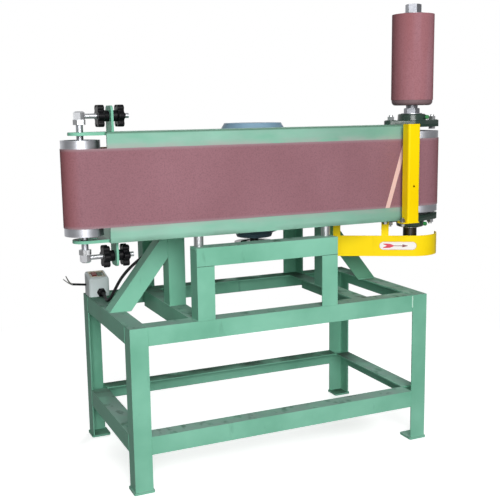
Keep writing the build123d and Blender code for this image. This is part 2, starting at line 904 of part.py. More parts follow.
def pulley(x, y, diameter, bore_diameter):
    """A grooved pulley, dished on both faces between hub and rim."""
    outer = diameter / 2
    bore = bore_diameter / 2 + press_gap
    half = pulley_width / 2
    section = Plane((x, y, drive_plane), x_dir=EAST, z_dir=SOUTH)
    with BuildSketch(section) as rim:
        with BuildLine():
            Polyline(
                (bore, -half),
                (outer, -half),
                (outer, -groove_half),
                (outer - groove_depth, -groove_floor),
                (outer - groove_depth, groove_floor),
                (outer, groove_half),
                (outer, half),
                (bore, half),
                close=True,
            )
        make_face()
        hub = bore + pulley_hub_wall
        dish = outer - groove_depth - pulley_recess - hub
        for way in (half, -half):
            with Locations((hub, way)):
                Rectangle(
                    dish, 2 * pulley_recess, align=(Align.MIN, Align.CENTER), mode=Mode.SUBTRACT
                )
    revolve(rim.sketch, axis=Axis((x, y, 0), UP))


with BuildPart() as driven_pulley:
    pulley(drive_x, drive_y, driven_diameter, shaft_diameter)
finish(driven_pulley, "driven_pulley")

with BuildPart() as motor_pulley:
    pulley(motor_x, motor_y, motor_pulley_diameter, motor_shaft_diameter)
finish(motor_pulley, "motor_pulley")


side_gap = v_belt_gap / cos(radians(groove_half_angle))
v_belt_wide = groove_half - v_belt_drop * groove_slope - side_gap
v_belt_narrow = v_belt_wide - v_belt_height * groove_slope
v_belt_inset = v_belt_drop + v_belt_height


def v_belt_section(centre, radius, angle):
    """The belt's trapezoid where it lies on a pulley, seen along its anticlockwise way."""
    out = Vector(cos(radians(angle)), sin(radians(angle)), 0)
    along = Vector(0, 0, 1).cross(out)
    place = centre + out * (radius - v_belt_inset)
    with BuildSketch(Plane(place, x_dir=out, z_dir=along), mode=Mode.PRIVATE) as section:
        with BuildLine():
            Polyline(
                (0, -v_belt_narrow),
                (v_belt_height, -v_belt_wide),
                (v_belt_height, v_belt_wide),
                (0, v_belt_narrow),
                close=True,
            )
        make_face()
    return section.sketch


# Two straight runs tangent to both pulleys, and an arc round each pulley
with BuildPart() as v_belt:
    drive_centre = Vector(drive_x, drive_y, drive_plane)
    motor_centre = Vector(motor_x, motor_y, drive_plane)
    spacing = (motor_centre - drive_centre).length
    driven_radius = driven_diameter / 2
    driver_radius = motor_pulley_diameter / 2
    touch = degrees(acos((driven_radius - driver_radius) / spacing))
    run = (spacing**2 - (driven_radius - driver_radius) ** 2) ** 0.5
    before = v_belt_section(drive_centre, driven_radius, guard_angle + touch)
    after = v_belt_section(motor_centre, driver_radius, guard_angle - touch)
    extrude(before, amount=-run)
    extrude(after, amount=-run)
    revolve(before, axis=Axis((drive_x, drive_y, 0), UP), revolution_arc=360 - 2 * touch)
    revolve(after, axis=Axis((motor_x, motor_y, 0), UP), revolution_arc=2 * touch)
finish(v_belt, "v_belt")

guard_plane = Plane(
    (drive_x, drive_y, guard_base),
    x_dir=(cos(radians(guard_angle)), sin(radians(guard_angle)), 0),
    z_dir=UP,
)


# A tray under the pulleys, with a wall along its front run and round the driven pulley
with BuildPart() as belt_guard:
    with BuildSketch(guard_plane):
        Circle(guard_radius)
        with BuildLine():
            Polyline(
                (0, -guard_radius),
                (guard_rear, -guard_radius),
                (guard_front, guard_radius),
                (0, guard_radius),
                close=True,
            )
        make_face()
    extrude(amount=guard_wall)
    with BuildSketch(guard_plane):
        with Locations((0, guard_radius)):
            Rectangle(guard_front, guard_wall, align=(Align.MIN, Align.MAX))
        with BuildLine():
            outer_arc = CenterArc((0, 0), guard_radius, 90, guard_wrap)
            inner_arc = CenterArc((0, 0), guard_radius - guard_wall, 90, guard_wrap)
            Line(outer_arc @ 0, inner_arc @ 0)
            Line(outer_arc @ 1, inner_arc @ 1)
        make_face()
    extrude(amount=guard_height)
    # Two straps hang the tray under the head's bottom plate.
    strap_rise = head_base - guard_base
    for place in strap_places:
        with BuildSketch(guard_plane.offset(guard_height - strap_lap)):
            with Locations((place, guard_radius - guard_wall)):
                Rectangle(strap_width, strap_thickness, align=(Align.CENTER, Align.MAX))
        extrude(amount=strap_rise - guard_height + strap_lap)
        with BuildSketch(guard_plane.offset(strap_rise - strap_thickness)):
            with Locations((place, guard_radius - guard_wall - strap_thickness)):
                Rectangle(strap_width, strap_tab, align=(Align.CENTER, Align.MIN))
        extrude(amount=strap_thickness)
finish(belt_guard, "belt_guard")

# Motor, hung by its feet on rails between the rear posts

with BuildPart() as motor_rails:
    for row in foot_rows:
        z = motor_base + row + angle_leg / 2
        start = (post_left + angle_wall, motor_face, z)
        end = (post_right - angle_wall, motor_face, z)
        add(angle_length(start, end, DOWN, NORTH))
    add(rear_posts.part, mode=Mode.SUBTRACT)
finish(motor_rails, "motor_rails")


def on_motor(z):
    """A level plane on the motor's axis."""
    return Plane((motor_x, motor_y, z), x_dir=EAST, z_dir=UP)


barrel_base = motor_base + motor_shield
barrel_top = barrel_base + motor_barrel
cowl_base = barrel_top - cowl_flange
shaft_bottom = motor_base - motor_shaft_reach

with BuildPart() as motor_body:
    # Drive-end shield, barrel and the spigot that the cowl fits over
    with BuildSketch(Plane((motor_x, motor_y, motor_base), x_dir=EAST, z_dir=SOUTH)):
        with BuildLine():
            Polyline(
                (0, 0),
                (motor_nose / 2, 0),
                (motor_nose / 2 + motor_nose_draft, motor_shield / 2),
                (motor_core / 2, motor_shield),
                (motor_core / 2, motor_shield + motor_barrel),
                (0, motor_shield + motor_barrel),
                close=True,
            )
        make_face()
    revolve(axis=Axis((motor_x, motor_y, 0), UP))
    with BuildSketch(on_motor(barrel_base + fin_end)):
        with PolarLocations(motor_core / 2 - fin_root, motor_fins):
            fin_reach = (motor_diameter - motor_core) / 2 + fin_root - 2 * fin_shy
            Rectangle(fin_reach, motor_fin, align=(Align.MIN, Align.CENTER))
    extrude(amount=motor_barrel - 2 * cowl_flange - 2 * fin_end)
    with BuildSketch(on_motor(cowl_base - cowl_flange)):
        Circle(motor_diameter / 2)
    extrude(amount=cowl_flange)
    with BuildSketch(on_motor(cowl_base)):
        Circle(motor_diameter / 2 - cowl_sheet - running_gap)
    extrude(amount=cowl_flange)
    # Feet: a pad along each side on the rails, and a web from it to the barrel
    foot_low = motor_base + foot_rows[0] - angle_leg / 2
    foot_tall = foot_rows[1] - foot_rows[0] + angle_leg
    for way in (1, -1):
        foot_x = motor_x + way * motor_foot_pitch / 2
        with Locations((foot_x, motor_face - motor_pad / 2, foot_low)):
            Box(2 * motor_pad + motor_foot_web, motor_pad, foot_tall, align=ON_FLOOR)
        web_x = motor_x + way * (motor_foot_pitch / 2 - motor_foot_web)
        with Locations((web_x, motor_y, foot_low)):
            Box(
                motor_foot_web,
                motor_shaft_height - motor_pad / 2,
                foot_tall,
                align=(Align.CENTER, Align.MIN, Align.MIN),
            )
    # Terminal box on the left with a cable gland underneath
    terminal_x = motor_x - motor_core / 2 - terminal_width / 2
    terminal_z = motor_base + terminal_rise
    with BuildSketch(Plane((terminal_x, motor_y, terminal_z), x_dir=EAST, z_dir=UP)):
        with Locations((terminal_root / 2, 0)):
            Rectangle(terminal_width + terminal_root, terminal_depth)
        fillet(vertices().group_by(Axis.X)[0], radius=terminal_corner)
    extrude(amount=terminal_height)
    terminal_gland = Plane((terminal_x, motor_y, terminal_z), x_dir=EAST, z_dir=DOWN)
    with BuildSketch(terminal_gland):
        RegularPolygon(gland_flats / 2, 6, major_radius=False)
    extrude(amount=gland_nut)
    with BuildSketch(terminal_gland):
        Circle(gland_diameter / 2)
    extrude(amount=gland_length)
    with Locations((motor_x, motor_y, (motor_base + barrel_top) / 2)):
        bore = motor_shaft_diameter / 2 + running_gap
        Cylinder(bore, 2 * motor_barrel, mode=Mode.SUBTRACT)
finish(motor_body, "motor_body")

with BuildPart() as fan_cowl:
    skirt = cowl_height - cowl_cone
    rim_radius = motor_diameter / 2
    top_radius = rim_radius - cowl_taper
    with BuildSketch(Plane((motor_x, motor_y, cowl_base), x_dir=EAST, z_dir=SOUTH)):
        with BuildLine():
            Polyline(
                (rim_radius, 0),
                (rim_radius, skirt),
                (top_radius, cowl_height),
                (0, cowl_height),
                (0, cowl_height - cowl_sheet),
                (top_radius - cowl_sheet / 2, cowl_height - cowl_sheet),
                (rim_radius - cowl_sheet, skirt - cowl_sheet / 2),
                (rim_radius - cowl_sheet, 0),
                close=True,
            )
        make_face()
    revolve(axis=Axis((motor_x, motor_y, 0), UP))
    # Air intake of drilled rings
    with BuildSketch(on_motor(cowl_base + cowl_height)):
        for ring_number in range(1, cowl_rings + 1):
            with PolarLocations(cowl_ring_pitch * ring_number, 6 * ring_number):
                Circle(cowl_hole / 2)
    extrude(amount=-3 * cowl_sheet, mode=Mode.SUBTRACT)
finish(fan_cowl, "fan_cowl")

with BuildPart() as motor_shaft:
    with BuildSketch(on_motor(shaft_bottom)):
        Circle(motor_shaft_diameter / 2)
    extrude(amount=barrel_top + fan_height + 2 * fan_gap - shaft_bottom)
    chamfer(motor_shaft.edges().group_by(Axis.Z)[0], length=motor_shaft_chamfer)
finish(motor_shaft, "motor_shaft")

with BuildPart() as motor_fan:
    blade_start = motor_shaft_diameter / 2 + fan_hub_wall - fan_root
    with BuildSketch(on_motor(barrel_top + fan_gap)):
        Circle(motor_shaft_diameter / 2 + fan_hub_wall)
        with PolarLocations(blade_start, fan_blades):
            Rectangle(fan_radius - blade_start, fan_blade, align=(Align.MIN, Align.CENTER))
        Circle(motor_shaft_diameter / 2 + press_gap, mode=Mode.SUBTRACT)
    extrude(amount=fan_height)
finish(motor_fan, "motor_fan")

# Switch box on the left rail

switch_left = left + switch_inset
switch_y = front + switch_setback
slope = degrees(atan2(switch_rise, switch_depth))
switch_mid_x = switch_left + switch_width / 2
panel_plane = Plane(
    (switch_mid_x, switch_y + switch_depth / 2, stand_height + switch_front + switch_rise / 2),
    x_dir=EAST,
    z_dir=(0, -sin(radians(slope)), cos(radians(slope))),
)

with BuildPart() as switch_box:
    with BuildSketch(Plane.YZ.offset(switch_left)):
        with BuildLine():
            Polyline(
                (switch_y, stand_height),
                (switch_y + switch_depth, stand_height),
                (switch_y + switch_depth, stand_height + switch_front + switch_rise),
                (switch_y, stand_height + switch_front),
                close=True,
            )
        make_face()
    extrude(amount=switch_width)
    rounded = switch_box.edges().filter_by(Axis.Z) + switch_box.faces().sort_by(Axis.Z)[-1].edges()
    fillet(rounded, radius=switch_corner)
    with BuildSketch(panel_plane):
        Rectangle(panel_width, panel_depth)
    extrude(amount=-panel_recess, mode=Mode.SUBTRACT)
    with BuildSketch(panel_plane.offset(-panel_recess)):
        with GridLocations(button_pitch, 0, 2, 1):
            Rectangle(button_width + 2 * sliding_gap, button_depth + 2 * sliding_gap)
    extrude(amount=-button_height, mode=Mode.SUBTRACT)
finish(switch_box, "switch_box")

BUTTONS = (("stop_button", -1, stop_button_proud), ("start_button", 1, 0))
for button_name, way, proud in BUTTONS:
    with BuildPart() as button:
        with BuildSketch(panel_plane.offset(proud)):
            with Locations((way * button_pitch / 2, 0)):
                Rectangle(button_width, button_depth)
        cap = extrude(amount=-(button_height - button_travel + proud))
        fillet(cap.edges().filter_by(Axis(panel_plane.origin, panel_plane.z_dir)), radius=button_corner)
    finish(button, button_name)

gland_x = switch_left + gland_from_side
gland_z = stand_height + gland_height
with BuildPart() as cable_gland:
    gland_seat = Plane((gland_x, switch_y, gland_z), x_dir=EAST, z_dir=SOUTH)
    with BuildSketch(gland_seat):
        RegularPolygon(gland_flats / 2, 6, major_radius=False)
    extrude(amount=gland_nut)
    with BuildSketch(gland_seat.offset(gland_nut)):
        Circle(gland_diameter / 2)
    dome = extrude(amount=gland_length - gland_nut)
    fillet(dome.faces().sort_by(Axis.Y)[0].edges(), radius=gland_edge)
finish(cable_gland, "cable_gland")


def corner_radii(points):
    """For each inner point, the largest arc that leaves a tenth of the shorter run straight."""
    radii = []
    for before, at, after in zip(points, points[1:], points[2:]):
        run_in = Vector(*at) - Vector(*before)
        run_out = Vector(*after) - Vector(*at)
        shorter = min(run_in.length, run_out.length)
        radii.append(0.45 * shorter / tan(radians(run_in.get_angle(run_out) / 2)))
    return radii


def cord(points, diameter):
    """A round cord along straight runs joined by tangent arcs."""
    radii = corner_radii(points)
    with BuildLine() as route:
        FilletPolyline(*points, radius=radii)
    with BuildSketch(Plane(route.line @ 0, z_dir=route.line % 0)) as section:
        Circle(diameter / 2)
    sweep(section.sketch, path=route.line)
    return sum(edge.length for edge in route.edges()), radii


gland_tip = switch_y - gland_length
post_back = left_post_y + angle_leg
lead_start = lead_on_rail + lead_to_brace
motor_lead_route = [
    (gland_x, gland_tip, gland_z),
    (gland_x, gland_tip - lead_straight, gland_z),
    *((gland_x + x, gland_tip + y, stand_height + z) for x, y, z in lead_start),
    *((post_left + x, post_back + y, stand_height + z) for x, y, z in lead_past_post),
    *((terminal_x + x, motor_y + y, stand_height + z) for x, y, z in lead_to_motor),
    (terminal_x, motor_y, terminal_z - gland_length),
]
with BuildPart() as motor_lead:
    lead_length, lead_radii = cord(motor_lead_route, lead_diameter)
finish(motor_lead, "motor_lead")

supply_y = switch_y + supply_setback
supply_z = stand_height + supply_rise
supply_route = [
    (switch_left, supply_y, supply_z),
    *((switch_left + x, supply_y + y, supply_z + z) for x, y, z in supply_places),
]
with BuildPart() as supply_lead:
    supply_length, supply_radii = cord(supply_route, supply_diameter)
    tip = Vector(*supply_route[-1])
    heading = (tip - Vector(*supply_route[-2])).normalized()
    for number, reach in enumerate(wire_tips):
        turn = radians(120 * number + 90)
        side = Plane(tip, z_dir=heading)
        around = Vector(cos(turn), sin(turn), 0)
        start = side.from_local_coords(around * wire_spread)
        bend = start + heading * wire_straight
        cord([tuple(start), tuple(bend), tuple(start + Vector(*reach))], wire_diameter)
finish(supply_lead, "supply_lead")

for lead, length, radii in (
    ("motor lead", lead_length, lead_radii),
    ("supply lead", supply_length, supply_radii),
):
    print(lead, "length", round(length), "radii", [round(r) for r in radii])
print("lead volume ratio", motor_lead.part.volume / (lead_length * pi * lead_diameter**2 / 4))
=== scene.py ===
import json
from math import cos, pi, radians, sin, tan

import bmesh
import bpy
from mathutils import Matrix, Vector


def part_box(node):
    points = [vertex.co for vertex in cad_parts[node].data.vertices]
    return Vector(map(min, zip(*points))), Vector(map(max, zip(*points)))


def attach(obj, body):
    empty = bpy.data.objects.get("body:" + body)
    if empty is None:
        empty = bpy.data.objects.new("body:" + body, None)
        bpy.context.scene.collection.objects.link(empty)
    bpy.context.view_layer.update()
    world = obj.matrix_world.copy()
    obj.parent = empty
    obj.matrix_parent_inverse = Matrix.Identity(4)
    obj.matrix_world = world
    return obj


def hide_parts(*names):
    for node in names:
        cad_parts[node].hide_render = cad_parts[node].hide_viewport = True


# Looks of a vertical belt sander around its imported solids, in metres, in the solids' own frame.

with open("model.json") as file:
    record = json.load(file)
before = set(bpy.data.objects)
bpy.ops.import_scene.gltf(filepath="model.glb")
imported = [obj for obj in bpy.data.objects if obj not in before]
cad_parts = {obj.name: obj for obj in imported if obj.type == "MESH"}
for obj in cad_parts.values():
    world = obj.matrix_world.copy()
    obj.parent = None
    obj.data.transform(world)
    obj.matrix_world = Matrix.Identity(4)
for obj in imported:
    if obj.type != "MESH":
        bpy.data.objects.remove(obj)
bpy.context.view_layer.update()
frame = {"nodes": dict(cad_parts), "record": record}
nodes = frame["nodes"]
slot_of = {part["node"]: part["material_slot"] for part in frame["record"]["subparts"]}

EAST, WEST = Vector((1, 0, 0)), Vector((-1, 0, 0))
NORTH, SOUTH = Vector((0, 1, 0)), Vector((0, -1, 0))
UP, DOWN = Vector((0, 0, 1)), Vector((0, 0, -1))
CORNERS = ((-1, -1), (1, -1), (1, 1), (-1, 1))
MM = 0.001


def mm(x, y, z):
    """A point given in millimetres."""
    return Vector((x, y, z)) * MM


def axis_of(node):
    """The upright axis of a round node, as its point on the floor."""
    low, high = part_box(node)
    middle = (low + high) / 2
    return Vector((middle.x, middle.y, 0))


# Places read from the solids
IDLER = axis_of("idler_drum")
DRIVE = axis_of("drive_drum")
MOTOR = axis_of("fan_cowl")
GUARD_WAY = (MOTOR - DRIVE).normalized()
GUARD_OUT = UP.cross(GUARD_WAY)

belt_low, belt_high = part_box("abrasive_belt")
BELT_MIDDLE = (belt_low.z + belt_high.z) / 2
BELT_HALF = (belt_high.z - belt_low.z) / 2

platen_low, platen_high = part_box("platen")
PLATEN_START, PLATEN_END = platen_low.x, platen_high.x
HEAD_BASE, HEAD_TOP = platen_low.z, platen_high.z
PLATEN_HALF = (HEAD_TOP - HEAD_BASE) / 2

rail_low, rail_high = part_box("left_rail")
LEFT, FRONT, REAR = rail_low.x, rail_low.y, rail_high.y
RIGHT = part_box("right_rail")[1].x
LEG = rail_high.x - rail_low.x
STAND_TOP = rail_high.z
STRETCHER_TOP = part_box("long_stretchers")[1].z
FOOT_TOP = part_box("foot_plates")[1].z

posts_low, posts_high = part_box("front_posts")
POST_LEFT, POST_RIGHT = posts_low.x, posts_high.x
bridge_low, bridge_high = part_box("bridge_posts")
BRIDGE_LEFT, BRIDGE_RIGHT = bridge_low.x, bridge_high.x
BRIDGE_UNDERSIDE = bridge_high.z


# Camera at the photograph's place

CAMERA_PLACE = (-1.0288, -2.30616, 1.01142)
CAMERA_YAW = 0.42250
CAMERA_PITCH = 0.16442
CAMERA_ROLL = -0.01451
CAMERA_LENS = 60.918
CAMERA_SENSOR = 36


def photo_camera():
    """A camera turned right by its yaw, down by its pitch and then rolled about its own axis."""
    level = Vector((cos(CAMERA_YAW), -sin(CAMERA_YAW), 0))
    heading = Vector((sin(CAMERA_YAW), cos(CAMERA_YAW), 0))
    ahead = heading * cos(CAMERA_PITCH) + DOWN * sin(CAMERA_PITCH)
    upright = level.cross(ahead)
    across = level * cos(CAMERA_ROLL) + upright * sin(CAMERA_ROLL)
    above = upright * cos(CAMERA_ROLL) - level * sin(CAMERA_ROLL)
    data = bpy.data.cameras.new("camera")
    data.sensor_width = CAMERA_SENSOR
    data.lens = CAMERA_LENS
    camera = bpy.data.objects.new("camera", data)
    turned = Matrix((across, above, -ahead)).transposed().to_4x4()
    camera.matrix_world = Matrix.Translation(CAMERA_PLACE) @ turned
    bpy.context.scene.collection.objects.link(camera)
    bpy.context.scene.camera = camera


# Colours

def colour(red, green, blue):
    """A linear colour from the usual 0 to 255 values."""
    linear = []
    for value in (red, green, blue):
        share = value / 255
        low = share <= 0.04045
        linear.append(share / 12.92 if low else ((share + 0.055) / 1.055) ** 2.4)
    return (*linear, 1.0)


def times(shade, factor):
    """A colour made darker or lighter by a factor."""
    return (*(factor * value for value in shade[:3]), 1.0)


WHITE = (1, 1, 1, 1)
BLACK = (0, 0, 0, 1)

GREEN_BRIGHT = colour(135, 198, 172)
GREEN_DULL = colour(114, 178, 151)
CASTING = colour(44, 64, 55)
STEEL = colour(204, 206, 212)
# A darker copy of the steel: painted shade and dimmer reflections for the shafts and nuts under the drum.
SHADED_STEEL = colour(158, 160, 166)
ZINC = colour(212, 214, 216)

DUST = colour(150, 168, 163)
DUST_FILM = colour(188, 198, 196)
BELT_DUST = colour(164, 168, 162)
DARKER_GREEN = colour(84, 118, 100)
# Dark oily brown: oil stains, and painted shade on the rear tops and under the shafts' bearings.
OIL_AND_SHADE = colour(54, 51, 46)
# Painted shadow of the idler drum on the head's tongues.
IDLER_SHADOW = colour(34, 50, 43)

GRAIN_PALE = colour(158, 112, 122)
GRAIN_DARK = colour(138, 93, 102)
GRAIN_EDGE = colour(158, 138, 143)
# Dark red: worn grit in the sleeve's streaks, and painted shade where the grit turns sideways.
OPEN_GRAIN_AND_SHADE = colour(148, 74, 72)
SLEEVE_PALE = colour(176, 124, 134)
SLEEVE_DARK = colour(152, 100, 108)
SPLICE_PINK = colour(230, 192, 184)
CLOTH_BACK = colour(168, 128, 98)


# Materials

class Shading:
    """Short ways to build a tree of shader nodes, where an input takes an output or a plain value."""

    def __init__(self, tree):
        self.tree = tree

    def add(self, kind, **settings):
        node = self.tree.nodes.new("ShaderNode" + kind)
        for name, value in settings.items():
            setattr(node, name, value)
        return node

    def link(self, source, target):
        if isinstance(source, (int, float, tuple, Vector)):
            target.default_value = source
        else:
            self.tree.links.new(source, target)

    def split(self, vector):
        """The x, y and z of a vector."""
        node = self.add("SeparateXYZ")
        self.link(vector, node.inputs[0])
        return node.outputs

    def math(self, operation, first, second=0.0):
        node = self.add("Math", operation=operation)
        self.link(first, node.inputs[0])
        self.link(second, node.inputs[1])
        return node.outputs[0]

    def vector(self, operation, first, second):
        node = self.add("VectorMath", operation=operation)
        self.link(first, node.inputs[0])
        self.link(second, node.inputs[1])
        return node.outputs["Value" if operation == "DOT_PRODUCT" else "Vector"]

    def spread(self, value, low, high, to_low=0.0, to_high=1.0):
        """The range from low to high mapped to another one and held at its ends."""
        node = self.add("MapRange")
        self.link(value, node.inputs["Value"])
        node.inputs["From Min"].default_value = low
        node.inputs["From Max"].default_value = high
        node.inputs["To Min"].default_value = to_low
        node.inputs["To Max"].default_value = to_high
        return node.outputs["Result"]

    def mix(self, share, first, second):
        """The first colour, with a share of the second over it."""
        node = self.add("Mix", data_type="RGBA")
        self.link(share, node.inputs[0])
        self.link(first, node.inputs[6])
        self.link(second, node.inputs[7])
        return node.outputs[2]


class Finish(Shading):
    """A material built up around one Principled shader, on the object's own coordinates."""

    def __init__(self, name, **values):
        self.material = bpy.data.materials.new(name)
        self.material.use_nodes = True
        super().__init__(self.material.node_tree)
        self.shader = self.tree.nodes["Principled BSDF"]
        coordinates = self.add("TexCoord").outputs
        self.place = coordinates["Object"]
        self.facing = coordinates["Normal"]
        for socket, value in values.items():
            self.shader.inputs[socket.replace("_", " ").title()].default_value = value

    def noise(self, scale, detail=3.0, stretch=None):
        """Noise of so many cells to the metre, on coordinates that may be stretched."""
        node = self.add("TexNoise")
        place = self.vector("MULTIPLY", self.place, stretch) if stretch else self.place
        self.link(place, node.inputs["Vector"])
        node.inputs["Scale"].default_value = scale
        node.inputs["Detail"].default_value = detail
        return node.outputs["Fac"]

    def bands(self, direction, period):
        """Even waves along an axis, one to each period."""
        node = self.add("TexWave", wave_type="BANDS", bands_direction=direction)
        self.link(self.place, node.inputs["Vector"])
        node.inputs["Scale"].default_value = 2 * pi / (20 * period)
        return node.outputs["Fac"]

    def paint(self, source):
        self.link(source, self.shader.inputs["Base Color"])

    def shine(self, level):
        self.link(level, self.shader.inputs["Specular IOR Level"])

    def roughen(self, value, low, high):
        """Roughness from low to high over the middle of a noise's range."""
        self.link(self.spread(value, 0.3, 0.7, low, high), self.shader.inputs["Roughness"])

    def bump(self, height, depth):
        node = self.add("Bump")
        node.inputs["Strength"].default_value = 1.0
        node.inputs["Distance"].default_value = depth
        self.link(height, node.inputs["Height"])
        self.link(node.outputs["Normal"], self.shader.inputs["Normal"])


ENAMEL_SHINE = 0.1


def brushed_coat(finish, bright, dull, gloss=0.3):
    """Brushed-on gloss enamel with faint cloudiness and orange peel, as a colour to work on."""
    finish.shine(ENAMEL_SHINE)
    cloud = finish.noise(5, 4)
    finish.roughen(cloud, gloss, 0.5)
    finish.bump(finish.noise(420, 2), 0.00012)
    return finish.mix(finish.spread(cloud, 0.35, 0.65), dull, bright)


def settled_dirt_and_shade(finish):
    """The share and colour of what lies on upward faces: pale dust in front, oil stains, and painted shade
    darkening the tops toward the rear under the head and motor.
    """
    flat = finish.spread(finish.split(finish.facing)[2], 0.75, 0.97)
    patches = finish.spread(finish.noise(13, 5), 0.35, 0.65, 0.4, 0.85)
    # Painted shade: upward faces darken toward the rear, under the head and motor.
    rearward_shade = finish.spread(finish.split(finish.place)[1], 0.0, 0.24)
    stains = finish.spread(finish.noise(38, 6, (1, 0.6, 1)), 0.55, 0.68, 0, 0.75)
    oil_and_shade = finish.math("MAXIMUM", rearward_shade, stains)
    return finish.math("MULTIPLY", flat, patches), finish.mix(oil_and_shade, DUST, OIL_AND_SHADE)


def enamel(name, bright, dull, soiled=0.4, dusty=False):
    """Gloss enamel with handling marks and, where it is dusty, settled dirt and painted shade that take its
    shine.
    """
    finish = Finish(name)
    coat = brushed_coat(finish, bright, dull)
    marks = finish.noise(42, 6, (1, 1, 0.25))
    coat = finish.mix(finish.spread(marks, 0.66, 0.8, 0, soiled), coat, times(dull, 0.45))
    if dusty:
        share, dirt_and_shade = settled_dirt_and_shade(finish)
        coat = finish.mix(share, coat, dirt_and_shade)
        finish.shine(finish.spread(share, 0.0, 0.5, ENAMEL_SHINE, 0.0))
    finish.paint(coat)
    return finish.material


def metal(name, shade, low, high, stretch=None, turned=0.0, oil_and_shade_below=None):
    """Bare or plated steel with fine marks, round the upright axis where it is turned."""
    finish = Finish(name, metallic=1.0, anisotropic=turned, anisotropic_rotation=0.25)
    if turned:
        round_axis = finish.add("Tangent", direction_type="RADIAL", axis="Z")
        finish.link(round_axis.outputs["Tangent"], finish.shader.inputs["Tangent"])
    marks = finish.noise(260, 4, stretch)
    stain = finish.noise(14, 4)
    skin = finish.mix(finish.spread(stain, 0.4, 0.7), shade, times(shade, 0.72))
    # Below this height the steel darkens: painted shade under the head and motor, over some oil.
    if oil_and_shade_below:
        height = finish.split(finish.place)[2]
        oil_and_shade = finish.spread(height, oil_and_shade_below + 0.003, oil_and_shade_below - 0.003, 0, 0.9)
        skin = finish.mix(oil_and_shade, skin, OIL_AND_SHADE)
    finish.paint(skin)
    finish.roughen(marks, low, high)
    finish.bump(marks, 0.00008)
    return finish.material


def turned_steel(name, shade, oil_and_shade_below=None):
    """Steel with the fine rings of the lathe."""
    return metal(name, shade, 0.4, 0.54, stretch=(0.05, 0.05, 3), turned=0.3, oil_and_shade_below=oil_and_shade_below)


def thread(name, shade, pitch, start):
    """Plated steel, with a fine rolled thread along x where the rod leaves its eye."""
    finish = Finish(name, metallic=0.9, roughness=0.36)
    threaded = finish.math("GREATER_THAN", finish.split(finish.place)[0], start)
    cut = finish.math("MULTIPLY", finish.bands("X", pitch), threaded)
    # The grooves are painted darker: painted shade in the thread.
    finish.paint(finish.mix(cut, shade, times(shade, 0.6)))
    finish.bump(cut, 0.0003)
    return finish.material


def moulded(name, shade, low, high, grain=520, depth=0.00008, shine=0.5, dusting=0.03):
    """Moulded plastic or rubber with a fine grain and a little dust."""
    finish = Finish(name)
    finish.shine(shine)
    dust = finish.noise(11, 4)
    pale = (*(value + dusting for value in shade[:3]), 1.0)
    finish.paint(finish.mix(finish.spread(dust, 0.45, 0.75), shade, pale))
    finish.roughen(dust, low, high)
    finish.bump(finish.noise(grain, 2), depth)
    return finish.material


def casting(name, shade):
    """Painted rough casting."""
    finish = Finish(name)
    skin = finish.noise(160, 5)
    finish.paint(finish.mix(finish.spread(skin, 0.52, 0.75), shade, times(shade, 1.6)))
    finish.roughen(skin, 0.16, 0.3)
    finish.bump(skin, 0.0002)
    return finish.material


def grit(finish, pale, dark, side_shade):
    """Aluminium oxide grit: its speckle, clumps and wear clouds, with painted redder shade where its surface
    turns sideways round a drum.
    """
    grain = finish.noise(1250, 2)
    clumps = finish.noise(260, 3)
    cloud = finish.noise(6, 4, (1, 1, 0.5))
    pits = times(dark, 0.55)
    ground = finish.mix(finish.spread(cloud, 0.25, 0.75, 0.15, 0.85), dark, pale)
    clumped = finish.mix(finish.spread(clumps, 0.45, 0.75, 0, 0.45), ground, pits)
    speckled = finish.mix(finish.spread(grain, 0.52, 0.72, 0, 0.4), clumped, pits)
    # Painted shade: the grit goes darker and redder where its surface faces sideways.
    sideways = finish.math("ABSOLUTE", finish.split(finish.facing)[0])
    finish.roughen(grain, 0.72, 0.95)
    finish.bump(grain, 0.00035)
    return finish.mix(finish.spread(sideways, 0.3, 1.0, 0, side_shade), speckled, OPEN_GRAIN_AND_SHADE)


SPLICE_X, SPLICE_Z = 0.3543, 0.722
SPLICE_LEAN = 0.312
SPLICE_HALF = 0.0074
FRONT_RUN = -0.2
DUSTY_EDGE = 0.008
WEAVE = 0.0012


def splice_share(finish, x, y, z):
    """One on the slanting joint strip of the belt's front run, and zero elsewhere."""
    lean = finish.math("MULTIPLY", finish.math("SUBTRACT", z, SPLICE_Z), SPLICE_LEAN)
    along = finish.math("SUBTRACT", finish.math("SUBTRACT", x, SPLICE_X), lean)
    on_splice = finish.math("LESS_THAN", finish.math("ABSOLUTE", along), SPLICE_HALF)
    return finish.math("MULTIPLY", on_splice, finish.math("LESS_THAN", y, FRONT_RUN))


def inner_share(finish):
    """One where the belt's surface faces the line between the two drums' axes, and zero elsewhere."""
    line = DRIVE - IDLER
    level = finish.vector("MULTIPLY", finish.place, (1, 1, 0))
    from_idler = finish.vector("SUBTRACT", level, IDLER)
    share = finish.vector("DOT_PRODUCT", from_idler, line / line.length_squared)
    share = finish.math("MAXIMUM", finish.math("MINIMUM", share, 1.0), 0.0)
    span = finish.add("CombineXYZ")
    finish.link(finish.math("MULTIPLY", share, line.x), span.inputs[0])
    finish.link(finish.math("MULTIPLY", share, line.y), span.inputs[1])
    outward = finish.vector("SUBTRACT", from_idler, span.outputs[0])
    return finish.math("LESS_THAN", finish.vector("DOT_PRODUCT", outward, finish.facing), 0.0)


